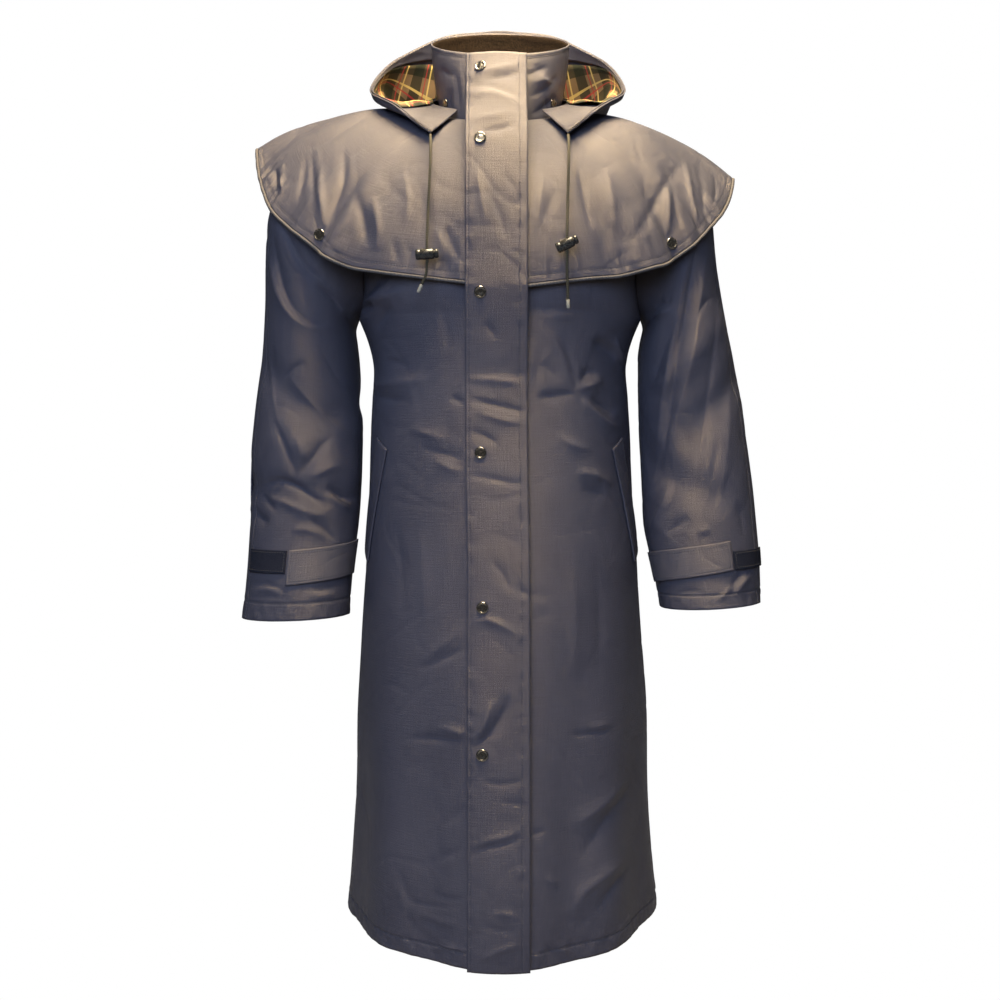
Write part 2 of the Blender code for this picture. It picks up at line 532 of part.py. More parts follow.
def sheet(name, grid, thickness, colour, collection):
    """A cloth piece: the grid is its outer face, thickened inwards."""
    rows, columns = grid.shape[:2]
    index = np.arange(rows * columns).reshape(rows, columns)
    quads = np.stack([index[:-1, :-1], index[1:, :-1], index[1:, 1:], index[:-1, 1:]], axis=-1)
    mesh = bpy.data.meshes.new(name)
    mesh.from_pydata(grid.reshape(-1, 3).tolist(), [], quads.reshape(-1, 4).tolist())
    mesh.shade_smooth()
    piece = placed(name, mesh, colour, collection)
    wall = piece.modifiers.new("wall", "SOLIDIFY")
    wall.thickness = thickness
    wall.offset = -1.0
    wall.use_even_offset = True
    wall.use_rim = True
    return piece


def turned(name, profile, steps, colour, collection):
    """A turned piece: its half section swept round Z."""
    mesh = bpy.data.meshes.new(name)
    points = [(radius, 0.0, height) for radius, height in reversed(profile)]
    mesh.from_pydata(points, [(i, i + 1) for i in range(len(points) - 1)], [])
    piece = placed(name, mesh, colour, collection)
    sweep = piece.modifiers.new("turn", "SCREW")
    sweep.axis = "Z"
    sweep.steps = steps
    sweep.render_steps = steps
    sweep.use_smooth_shade = True
    sweep.use_merge_vertices = True
    sweep.merge_threshold = 1e-6
    return piece


def tube(name, points, radius, resolution, colour, collection):
    """A round cord through a list of points, closed at both ends."""
    curve = bpy.data.curves.new(name, "CURVE")
    curve.dimensions = "3D"
    curve.bevel_depth = radius
    curve.bevel_resolution = resolution
    curve.use_fill_caps = True
    line = curve.splines.new("POLY")
    line.points.add(len(points) - 1)
    for point, place in zip(line.points, points):
        point.co = (*place, 1.0)
    return placed(name, curve, colour, collection)


def corner_grid(corners, rows, columns):
    """Two parameter grids spread between four corners: start of first row, its end, last row's two."""
    down, across = np.meshgrid(np.linspace(0.0, 1.0, rows), np.linspace(0.0, 1.0, columns), indexing="ij")
    first, first_end, last, last_end = (np.array(corner) for corner in corners)
    down, across = down[..., None], across[..., None]
    spread = (first * (1 - across) + first_end * across) * (1 - down)
    spread = spread + (last * (1 - across) + last_end * across) * down
    return spread[..., 0], spread[..., 1]


def add_snap(name, point, normal, scale, collection):
    """A snap cap seated on the cloth at a point, facing along the normal."""
    snap = turned(name, [(r * scale, h * scale) for r, h in SNAP_PROFILE], 12, "metal", collection)
    seat = Vector(point + normal * EASE)
    snap.matrix_world = Matrix.Translation(seat) @ Vector(normal).to_track_quat("Z", "Y").to_matrix().to_4x4()
    return snap


def add_body(coat):
    """Two fronts and the back, with the two pocket welts lying on the fronts."""
    along = np.concatenate([np.linspace(0.0, 1.0, 17), np.linspace(1.0, 1.84, 6)[1:],
                            [1.94, 1.98, 1.9982]])
    for side in SIDES:
        around, rows = np.meshgrid(np.linspace(0.003, 0.9985, 10), along)
        grid = leaning(mirrored(body(around, rows, "front", FRONT_DRAPES[side]), side))
        sheet(f"front_{side}", facing_out(grid, (0, 0, -0.5)), CLOTH, "cloth", coat)
        around, rows = corner_grid(WELT_CORNERS, 5, 7)
        welt = leaning(mirrored(body(around, rows, "front", FRONT_DRAPES[side]), side))
        welt = shifted(facing_out(welt, (0, 0, -0.5)), DOUBLE + EASE)
        sheet(f"pocket_welt_{side}", welt, DOUBLE, "cloth", coat)
    half = np.linspace(0.0, 0.9985, 10)
    around, rows = np.meshgrid(np.concatenate([-half[:0:-1], half]), along)
    grid = body(np.abs(around), rows, "back", BACK_DRAPES)
    grid = grid * np.stack([np.sign(around), np.ones_like(around), np.ones_like(around)], axis=-1)
    sheet("back", facing_out(leaning(grid), (0, 0, -0.5)), CLOTH, "cloth", coat)


def add_sleeves(coat):
    """Each sleeve cut as a front and a back half, with its cuff tab and the patch beside it."""
    down = np.concatenate([[0.0, 0.04], np.linspace(0.09, 1.0, 14)])
    for side, sign in SIDES.items():
        middle = (0.255 * sign, 0.0, -0.36)
        for face, start, stop in (("front", 0.7, 179.3), ("back", 180.7, 359.3)):
            turn, rows = np.meshgrid(np.linspace(start, stop, 9), down)
            grid = facing_out(sleeve(turn, rows, side), middle)
            sheet(f"sleeve_{face}_{side}", grid, CLOTH, "cloth", coat)
        for name, corners, thickness, colour in (("cuff_tab", TAB_CORNERS, DOUBLE, "cloth"),
                                                 ("cuff_patch", PATCH_CORNERS, PATCH_THICKNESS, "dark")):
            turn, rows = corner_grid(corners[side], 3, 13)
            lying = facing_out(sleeve(turn, rows, side), middle)
            sheet(f"{name}_{side}", shifted(lying, thickness + EASE), thickness, colour, coat)


def add_cape(coat):
    """Cape fronts and back, piped along the hem, with one snap on each front."""
    below = (0.0, 0.0, -0.32)
    down = np.linspace(0.0, 1.0, 8)

    def add(name, grid):
        sheet(f"cape_{name}", grid, CLOTH, "cloth", coat)
        edge, above = grid[-1], grid[-2]
        fall = (edge - above) / np.linalg.norm(edge - above, axis=-1, keepdims=True)
        inwards = -grid_normals(grid)[-1] * CLOTH / 2
        line = edge + fall * (PIPING_RADIUS + SEAM) + inwards
        line[0] += PIPING_TRIM * (line[1] - line[0]) / np.linalg.norm(line[1] - line[0])
        line[-1] += PIPING_TRIM * (line[-2] - line[-1]) / np.linalg.norm(line[-2] - line[-1])
        tube(f"cape_piping_{name}", line, PIPING_RADIUS, 1, "piping", coat)

    for side in SIDES:
        turn, rows = np.meshgrid(np.linspace(22.0, 89.78, 20), down)
        add(f"front_{side}", facing_out(cape(turn, rows, side), below))
        point, normal = spot(lambda a, b: cape(a, b, side), *CAPE_SNAPS[side], below)
        add_snap(f"snap_cape_{side}", point + normal * CAPE_SNAP_STAND, normal, 1.0, coat)
    turn, rows = np.meshgrid(np.linspace(90.22, 180.0, 11), down)
    right, left = cape(turn, rows, "right"), cape(turn, rows, "left")
    add("back", facing_out(np.concatenate([right, left[:, -2::-1]], axis=1), below))


def add_collar(coat):
    """Stand collar, open at the front, its lining, and the two snaps that hold the hood."""
    heart = (0.0, NECK_MID_Y, 0.04)
    turn, up = np.meshgrid(np.linspace(COLLAR_OPEN, 360.0 - COLLAR_OPEN, 29),
                           [0.0, 0.03, 0.50, 0.97, 1.0])
    stand = facing_out(collar(turn, up), heart)
    sheet("collar", stand, CLOTH, "cloth", coat)
    sheet("collar_lining", shifted(stand, -CLOTH - SEAM)[1:-1], LINING, "brown", coat)
    for side, sign in SIDES.items():
        point, normal = spot(collar, HOOD_SNAPS[0] * sign, HOOD_SNAPS[1], heart)
        add_snap(f"snap_hood_{side}", point, normal, HOOD_SNAP_SCALE, coat)


def add_hood(coat):
    """Hood shell, and inside it the plaid lining and the drawcord casing along the face edge."""
    above = (0.0, 0.05, 0.20)
    seam = 1.0 - CASING_SHARE
    shares = np.array([0.0, 0.14, 0.27, 0.37, 0.44, 0.50, 0.56, 0.64, 0.76, 0.86, seam - 0.01, seam, 1.0])
    turn, share = np.meshgrid(np.linspace(HOOD_RAYS[0].turn, 180.0, 12), shares)
    right, left = hood(turn, share, "right"), hood(turn, share, "left")
    shell = facing_out(np.concatenate([right, left[:, -2::-1]], axis=1), above)
    inside = shifted(shell, -CLOTH - HOOD_LAYER_GAP)
    sheet("hood", shell, CLOTH, "cloth", coat)
    sheet("hood_lining", inside[:11, LINING_START:-LINING_START], LINING, "lining", coat)
    sheet("hood_casing", inside[11:], LINING, "cloth", coat)


def add_flap(coat):
    """Storm flap with its row of snaps."""
    behind = (0.0, 0.3, -0.5)
    heights = np.concatenate([np.linspace(FLAP_HEIGHTS[0], -0.30, 18),
                              np.linspace(-0.28, FLAP_HEIGHTS[-1], 19)])
    across, rows = np.meshgrid(np.linspace(FLAP_RIGHT_X, FLAP_LEFT_X, 6), heights)
    sheet("storm_flap", facing_out(flap(across, rows), behind), DOUBLE, "cloth", coat)
    for number, height in enumerate(SNAP_HEIGHTS, start=1):
        point, normal = spot(flap, SNAP_X, height, behind)
        add_snap(f"snap_flap_{number}", point, normal, 1.0, coat)


def smooth_route(points, step):
    """Points a step apart on a smooth curve through a route."""
    points = np.array(points)
    reached = np.concatenate([[0.0], np.cumsum(np.linalg.norm(np.diff(points, axis=0), axis=1))])
    count = int(round(reached[-1] / step)) + 1
    return follow(reached, points, np.linspace(0.0, reached[-1], count))


def add_drawcords(coat, cutters):
    """Each drawcord end with its cord lock, bored for the cord, and its tip."""
    bore_profile = [(0.0, -0.02), (BORE_RADIUS, -0.02), (BORE_RADIUS, 0.02), (0.0, 0.02)]
    tip_profile = [(0.0, 0.0), (TIP_RADIUS, 0.0), (TIP_RADIUS, TIP_LENGTH * 0.85),
                   (TIP_RADIUS * 0.7, TIP_LENGTH), (0.0, TIP_LENGTH)]
    for side in SIDES:
        route = smooth_route(CORD_ROUTES[side], CORD_STEP)
        tube(f"drawcord_{side}", route, CORD_RADIUS, 2, "cord", coat)
        lock = turned(f"cord_lock_{side}", LOCK_PROFILE, 14, "dark", coat)
        tilt = math.radians(90.0 - LOCK_TILTS[side])
        lock.matrix_world = Matrix.Translation(LOCK_CENTRES[side]) @ Matrix.Rotation(tilt, 4, "Y")
        bore = turned(f"cord_bore_{side}", bore_profile, 12, "dark", cutters)
        bore.matrix_world = Matrix.Translation(LOCK_CENTRES[side])
        bore.hide_render = True
        bore.display_type = "WIRE"
        cut = lock.modifiers.new("bore", "BOOLEAN")
        cut.operation = "DIFFERENCE"
        cut.solver = "EXACT"
        cut.object = bore
        away = Vector(route[-1] - route[-2]).normalized()
        tip = turned(f"cord_tip_{side}", tip_profile, 12, "pale", coat)
        start = Vector(route[-1]) + away * SEAM
        tip.matrix_world = Matrix.Translation(start) @ away.to_track_quat("Z", "Y").to_matrix().to_4x4()


def main():
    """Clear the file, then build the coat piece by piece."""
    for old in list(bpy.data.objects):
        bpy.data.objects.remove(old)
    coat = bpy.data.collections.new("cape_coat")
    cutters = bpy.data.collections.new("cutters")
    bpy.context.scene.collection.children.link(coat)
    bpy.context.scene.collection.children.link(cutters)
    add_body(coat)
    add_sleeves(coat)
    add_cape(coat)
    add_collar(coat)
    add_hood(coat)
    add_flap(coat)
    add_drawcords(coat, cutters)


main()
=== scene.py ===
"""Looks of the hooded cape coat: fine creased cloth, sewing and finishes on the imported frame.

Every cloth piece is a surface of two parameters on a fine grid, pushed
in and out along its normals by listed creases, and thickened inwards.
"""
import math
from collections import namedtuple
from functools import partial

import bpy
import numpy as np
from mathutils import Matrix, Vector


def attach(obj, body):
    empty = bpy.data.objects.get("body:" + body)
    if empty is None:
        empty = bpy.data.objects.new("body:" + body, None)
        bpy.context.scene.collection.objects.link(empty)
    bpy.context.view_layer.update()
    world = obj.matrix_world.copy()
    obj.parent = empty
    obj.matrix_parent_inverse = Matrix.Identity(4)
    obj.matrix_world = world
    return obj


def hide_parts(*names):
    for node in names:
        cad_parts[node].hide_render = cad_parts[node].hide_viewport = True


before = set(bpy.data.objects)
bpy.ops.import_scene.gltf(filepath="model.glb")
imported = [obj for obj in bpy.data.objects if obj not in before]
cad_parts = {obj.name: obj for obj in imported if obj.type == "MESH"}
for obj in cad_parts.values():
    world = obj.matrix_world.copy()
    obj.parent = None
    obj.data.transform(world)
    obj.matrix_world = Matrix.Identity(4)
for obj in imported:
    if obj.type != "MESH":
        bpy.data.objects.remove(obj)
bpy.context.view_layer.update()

CLOTH = 0.0015          # shell cloth with its backing
LINING = 0.0010         # hood and collar lining
DOUBLE = 0.0022         # two layers sewn together: storm flap, tabs and welts
SEAM = 0.0003           # gap between two pieces
EASE = 0.0007           # gap under a piece that lies on another, with room for the facets
SIDES = {"right": -1.0, "left": 1.0}

# The torso as level rings from the hem up to the underarm.
BodyRing = namedtuple("BodyRing", "z half_width front back squareness")
BODY_RINGS = [
    BodyRing(-1.056, 0.2080, 0.214, 0.205, 1.86),
    BodyRing(-0.985, 0.2010, 0.206, 0.196, 1.95),
    BodyRing(-0.890, 0.1950, 0.194, 0.184, 2.05),
    BodyRing(-0.780, 0.1920, 0.180, 0.170, 2.15),
    BodyRing(-0.700, 0.1865, 0.170, 0.160, 2.2),
    BodyRing(-0.580, 0.1785, 0.156, 0.143, 2.3),
    BodyRing(-0.487, 0.1735, 0.147, 0.130, 2.3),
    BodyRing(-0.433, 0.1715, 0.143, 0.122, 2.3),
    BodyRing(-0.380, 0.1685, 0.140, 0.118, 2.3),
    BodyRing(-0.334, 0.1670, 0.139, 0.119, 2.3),
    BodyRing(-0.300, 0.1755, 0.139, 0.123, 2.3),
    BodyRing(-0.275, 0.1860, 0.140, 0.127, 2.3),
]
SKIRT_LEAN = 0.0026     # the skirt hangs this far to the wearer's left
HEM_DIP = 0.014         # the front hangs this much lower than the sides

# Neck seam: an ellipse that rises from the throat to the nape.
NECK_HALF_WIDTH = 0.078
NECK_HALF_DEPTH = 0.096
NECK_MID_Y = 0.004
NECK_MID_Z = -0.005
NECK_RISE = 0.033
SHOULDER_TIP = (0.205, 0.012, -0.058)
NECK_SHARE = 0.5        # part of a front's or back's top edge that belongs to the neck

# Control points between the underarm and the shoulder tip, and between chest and neck.
ARMHOLE_BENDS = {"front": ((0.158, -0.085, -0.245), (0.186, -0.058, -0.060)),
                 "back": ((0.164, 0.085, -0.245), (0.190, 0.078, -0.060))}
CENTRE_BENDS = {"front": ((0.0, -0.147, -0.185), (0.0, -0.116, -0.062)),
                "back": ((0.0, 0.138, -0.170), (0.0, 0.112, -0.020))}

# Soft folds of the skirt: where round the body (degrees from the front), how wide, how deep, from where.
Drape = namedtuple("Drape", "turn half_width depth top")
FRONT_DRAPES = {
    "right": [Drape(27, 9, -0.006, -0.55), Drape(46, 9, 0.005, -0.60), Drape(68, 9, -0.005, -0.62)],
    "left": [Drape(25, 8, -0.005, -0.60), Drape(42, 9, 0.005, -0.55), Drape(63, 10, -0.006, -0.55)],
}
BACK_DRAPES = [Drape(0, 9, -0.008, -0.50), Drape(22, 9, 0.006, -0.55), Drape(44, 9, -0.006, -0.60),
               Drape(68, 9, 0.005, -0.62)]

# Sleeves as rings from the armhole to the cuff: the overarm point, the underarm point, the depth.
SleeveRing = namedtuple("SleeveRing", "outer_x outer_z inner_x inner_z mid_y half_depth")
SLEEVE_RINGS = {
    "right": [
        SleeveRing(0.2050, -0.058, 0.1860, -0.275, 0.006, 0.076),
        SleeveRing(0.2700, -0.085, 0.1900, -0.283, 0.006, 0.084),
        SleeveRing(0.3020, -0.130, 0.1910, -0.292, 0.005, 0.084),
        SleeveRing(0.3085, -0.195, 0.1890, -0.308, 0.004, 0.081),
        SleeveRing(0.3105, -0.255, 0.1870, -0.328, 0.002, 0.079),
        SleeveRing(0.3140, -0.310, 0.1855, -0.352, 0.000, 0.077),
        SleeveRing(0.3200, -0.360, 0.1840, -0.385, -0.002, 0.075),
        SleeveRing(0.3250, -0.410, 0.1815, -0.415, -0.006, 0.073),
        SleeveRing(0.3300, -0.480, 0.1825, -0.483, -0.014, 0.071),
        SleeveRing(0.3280, -0.540, 0.1860, -0.540, -0.024, 0.068),
        SleeveRing(0.3300, -0.600, 0.1930, -0.600, -0.035, 0.065),
        SleeveRing(0.3365, -0.663, 0.1970, -0.659, -0.046, 0.063),
    ],
    "left": [
        SleeveRing(0.2050, -0.058, 0.1860, -0.275, 0.006, 0.076),
        SleeveRing(0.2580, -0.088, 0.1905, -0.284, 0.006, 0.084),
        SleeveRing(0.2770, -0.135, 0.1885, -0.293, 0.005, 0.084),
        SleeveRing(0.2830, -0.190, 0.1850, -0.306, 0.004, 0.081),
        SleeveRing(0.2910, -0.240, 0.1820, -0.325, 0.002, 0.079),
        SleeveRing(0.3015, -0.295, 0.1820, -0.350, 0.000, 0.077),
        SleeveRing(0.3140, -0.350, 0.1820, -0.380, -0.002, 0.075),
        SleeveRing(0.3220, -0.400, 0.1845, -0.415, -0.006, 0.073),
        SleeveRing(0.3310, -0.478, 0.1870, -0.483, -0.014, 0.071),
        SleeveRing(0.3355, -0.540, 0.1895, -0.545, -0.024, 0.068),
        SleeveRing(0.3390, -0.592, 0.2000, -0.600, -0.035, 0.065),
        SleeveRing(0.3395, -0.642, 0.2080, -0.650, -0.046, 0.063),
    ],
}
SLEEVE_BLEND = 0.16     # share of the sleeve that eases from the armhole into its rings
SLEEVE_OUT = 0.0016     # the sleeve starts this far outside the armhole's edge
SLEEVE_LENGTH = 0.61
SLEEVE_GIRTH = 0.44

# Large folds of a sleeve: from and to as degrees round it and share of its length, in order.
Fold = namedtuple("Fold", "turn_a down_a turn_b down_b half_width depth")
SLEEVE_FOLDS = {
    "right": [Fold(10, 0.74, 75, 0.77, 0.020, -0.006), Fold(40, 0.50, 120, 0.62, 0.026, -0.006),
              Fold(70, 0.66, 150, 0.72, 0.022, 0.005), Fold(200, 0.55, 300, 0.62, 0.028, -0.007),
              Fold(230, 0.70, 330, 0.74, 0.024, -0.006)],
    "left": [Fold(30, 0.55, 100, 0.66, 0.024, -0.006), Fold(80, 0.76, 150, 0.70, 0.020, -0.006),
             Fold(50, 0.42, 120, 0.50, 0.026, 0.005), Fold(210, 0.56, 310, 0.64, 0.028, -0.007),
             Fold(220, 0.72, 320, 0.70, 0.024, -0.006)],
}

# The cape as rays from the neck seam: a point half way down and a point on the hem.
CapeRay = namedtuple("CapeRay", "turn crest_x crest_y crest_z edge_x edge_y edge_z")
CAPE_RAYS = {
    "right": [
        CapeRay(22, 0.032, -0.139, -0.104, 0.030, -0.153, -0.240),
        CapeRay(40, 0.120, -0.122, -0.098, 0.186, -0.128, -0.216),
        CapeRay(58, 0.168, -0.088, -0.070, 0.248, -0.095, -0.1765),
        CapeRay(74, 0.196, -0.045, -0.035, 0.295, -0.052, -0.1310),
        CapeRay(84, 0.205, -0.012, -0.011, 0.315, -0.012, -0.081),
        CapeRay(90, 0.207, 0.010, -0.004, 0.321, 0.018, -0.046),
        CapeRay(98, 0.204, 0.036, -0.010, 0.315, 0.055, -0.072),
        CapeRay(112, 0.188, 0.078, -0.038, 0.288, 0.104, -0.135),
        CapeRay(132, 0.142, 0.115, -0.075, 0.215, 0.142, -0.198),
        CapeRay(156, 0.074, 0.140, -0.098, 0.115, 0.165, -0.235),
        CapeRay(180, 0.000, 0.148, -0.103, 0.000, 0.172, -0.247),
    ],
    "left": [
        CapeRay(22, 0.032, -0.139, -0.104, 0.030, -0.153, -0.243),
        CapeRay(40, 0.116, -0.122, -0.100, 0.174, -0.128, -0.222),
        CapeRay(58, 0.158, -0.090, -0.074, 0.226, -0.098, -0.198),
        CapeRay(74, 0.186, -0.048, -0.043, 0.278, -0.056, -0.148),
        CapeRay(84, 0.197, -0.012, -0.027, 0.300, -0.013, -0.112),
        CapeRay(90, 0.200, 0.010, -0.022, 0.308, 0.012, -0.085),
        CapeRay(98, 0.197, 0.036, -0.027, 0.302, 0.050, -0.108),
        CapeRay(112, 0.182, 0.078, -0.046, 0.276, 0.100, -0.158),
        CapeRay(132, 0.140, 0.115, -0.078, 0.210, 0.140, -0.205),
        CapeRay(156, 0.074, 0.140, -0.098, 0.115, 0.165, -0.237),
        CapeRay(180, 0.000, 0.148, -0.103, 0.000, 0.172, -0.247),
    ],
}
CAPE_NECK_OUT = 0.0034  # the cape's neck edge stands this far outside the collar
# Ripples of the cape's lower half: where (degrees at the neck), how wide, how deep, from where down.
Ripple = namedtuple("Ripple", "turn half_width depth start")
CAPE_RIPPLES = {
    "right": [Ripple(40, 3.0, -0.005, 0.45), Ripple(46, 2.6, 0.004, 0.50), Ripple(52, 3.0, -0.006, 0.40),
              Ripple(60, 3.2, 0.004, 0.45), Ripple(67, 3.0, -0.004, 0.50), Ripple(112, 6.0, -0.006, 0.40),
              Ripple(128, 6.0, 0.006, 0.45), Ripple(146, 6.0, -0.006, 0.45)],
    "left": [Ripple(36, 3.0, -0.005, 0.45), Ripple(43, 3.0, 0.004, 0.50), Ripple(56, 3.0, -0.005, 0.45),
             Ripple(63, 2.8, 0.004, 0.50), Ripple(70, 3.0, -0.004, 0.50), Ripple(114, 6.0, -0.006, 0.45),
             Ripple(132, 6.0, 0.006, 0.45), Ripple(150, 6.0, -0.006, 0.40)],
}
PIPING_RADIUS = 0.0023
PIPING_TRIM = 0.0022    # each piping ends this far inside its piece

# Collar: the neck seam below, this ellipse above.
COLLAR_HALF_WIDTH = 0.0915
COLLAR_HALF_DEPTH = 0.0920
COLLAR_MID_Y = 0.006
COLLAR_MID_Z = 0.0885
COLLAR_RISE = 0.0385
COLLAR_SWELL = 0.002    # how far its middle stands out
COLLAR_OPEN = 0.9       # degrees left open each side of the front

# Hood, lying open behind the collar: its section at each turn, from the neck edge to the face edge.
HoodRay = namedtuple("HoodRay", "turn neck_r neck_z inner_r inner_z low_r low_z outer_r outer_z "
                                "edge_r edge_z")
HOOD_RAYS = [
    HoodRay(35, 0.094, -0.017, 0.108, -0.027, 0.121, -0.037, 0.135, -0.047, 0.146, -0.054),
    HoodRay(60, 0.091, -0.005, 0.107, -0.014, 0.127, -0.020, 0.143, -0.019, 0.148, -0.012),
    HoodRay(90, 0.088, 0.010, 0.108, 0.009, 0.139, 0.008, 0.160, 0.013, 0.166, 0.028),
    HoodRay(118, 0.094, 0.024, 0.118, 0.008, 0.154, 0.004, 0.175, 0.040, 0.159, 0.086),
    HoodRay(133, 0.098, 0.030, 0.132, 0.000, 0.166, -0.035, 0.188, 0.018, 0.153, 0.110),
    HoodRay(148, 0.101, 0.034, 0.139, -0.042, 0.174, -0.097, 0.200, -0.020, 0.150, 0.131),
    HoodRay(180, 0.104, 0.038, 0.153, -0.078, 0.188, -0.155, 0.220, -0.050, 0.147, 0.147),
]
HOOD_SPREAD = {"right": 1.03, "left": 1.0}      # it lies a little wider to the wearer's right
HOOD_STATIONS = (0.0, 0.25, 0.5, 0.75, 1.0)
HOOD_LAYER_GAP = 0.0015
CASING_SHARE = 0.045    # part of the section, at the face edge, taken by the drawcord casing

# Storm flap: sewn at the wearer's left, free at the wearer's right, from collar to hem.
FLAP_RIGHT_X = -0.0425
FLAP_LEFT_X = 0.0340
FLAP_PAST_HEM = 0.0015
FLAP_LIFT = DOUBLE + 0.0008
FLAP_OVER_PIPING = 0.0042
SNAP_X = -0.0240
SNAP_HEIGHTS = (0.0300, -0.0660, -0.2530, -0.4480, -0.6360, -0.8120)

# Snap cap: half section (radius, height) with a raised ring and a dished middle.
CAP_PROFILE = [(0.0070, 0.0), (0.0074, 0.0003), (0.0075, 0.0009), (0.0072, 0.0014), (0.0067, 0.0018),
               (0.0061, 0.0020), (0.0056, 0.00185), (0.0052, 0.0015), (0.0047, 0.0013), (0.0036, 0.0014),
               (0.0020, 0.0016), (0.0006, 0.0017)]
HOOD_SNAP_SCALE = 0.75
CAPE_SNAPS = {"right": (53.5, 0.952), "left": (57.0, 0.952)}    # turn and share down the cape
HOOD_SNAPS = (57.0, 0.22)                                     # turn and share up the collar
FLAP_SNAP_GAP = 0.0002                                        # under a cap on the flap
CAPE_SNAP_GAP = 0.0010                                        # under a cap on the cape's ripples

# Pieces lying on a panel: four corners (around, along), front top, rear top, front low, rear low.
WELT_CORNERS = ((0.587, 0.783), (0.700, 0.802), (0.790, 0.596), (0.905, 0.615))
TAB_CORNERS = {"right": ((176.0, 0.852), (83.0, 0.868), (176.0, 0.918), (83.0, 0.934)),
               "left": ((176.0, 0.874), (68.0, 0.850), (176.0, 0.940), (68.0, 0.915))}
PATCH_CORNERS = {"right": ((81.0, 0.868), (30.0, 0.868), (81.0, 0.912), (30.0, 0.912)),
                 "left": ((66.0, 0.873), (12.0, 0.873), (66.0, 0.915), (12.0, 0.915))}
PATCH_THICKNESS = 0.0016

# Drawcords: the way each free end hangs, through its cord lock, from the hood's corner.
CORD_RADIUS = 0.0017
CORD_STEP = 0.0085      # between two points of the cord's stated route
CORD_RINGS = 120        # of the cord's tube
BORE_RADIUS = 0.0022
CORD_ROUTES = {
    "right": [(-0.0858, -0.1188, -0.0570), (-0.0848, -0.1320, -0.0690), (-0.0846, -0.1420, -0.0900),
              (-0.0856, -0.1480, -0.1200), (-0.0868, -0.1520, -0.1500), (-0.0878, -0.1575, -0.1800),
              (-0.0882, -0.1600, -0.1950), (-0.0882, -0.1600, -0.2205), (-0.0900, -0.1600, -0.2340),
              (-0.0945, -0.1590, -0.2440)],
    "left": [(0.0840, -0.1188, -0.0570), (0.0842, -0.1320, -0.0690), (0.0836, -0.1420, -0.0900),
             (0.0828, -0.1480, -0.1200), (0.0818, -0.1530, -0.1500), (0.0811, -0.1600, -0.1780),
             (0.0809, -0.1610, -0.1840), (0.0809, -0.1610, -0.2070), (0.0812, -0.1600, -0.2300),
             (0.0822, -0.1590, -0.2620)],
}
LOCK_CENTRES = {"right": (-0.0882, -0.1600, -0.2077), "left": (0.0809, -0.1610, -0.1955)}
LOCK_TILTS = {"right": 4.0, "left": 26.0}      # degrees the barrel lifts to the wearer's left
# Barrel lock and cord tip: half sections (radius, height).
BARREL_PROFILE = [(0.0040, -0.0140), (0.0052, -0.0138), (0.0061, -0.0131), (0.0065, -0.0120),
                  (0.0066, -0.0090), (0.0064, -0.0086), (0.0064, -0.0080), (0.0066, -0.0076),
                  (0.0067, 0.0), (0.0066, 0.0060),
                  (0.0063, 0.0076), (0.0058, 0.0083), (0.0048, 0.0086), (0.0046, 0.0091), (0.0048, 0.0096),
                  (0.0055, 0.0100), (0.0057, 0.0108), (0.0056, 0.0126), (0.0050, 0.0136), (0.0036, 0.0140)]
TIP_RADIUS = 0.0022
TIP_LENGTH = 0.0110
TIP_PROFILE = [(TIP_RADIUS * 0.9, 0.0), (TIP_RADIUS, 0.0004), (TIP_RADIUS, TIP_LENGTH * 0.82),
               (TIP_RADIUS * 0.93, TIP_LENGTH * 0.92), (TIP_RADIUS * 0.7, TIP_LENGTH * 0.985),
               (TIP_RADIUS * 0.4, TIP_LENGTH)]

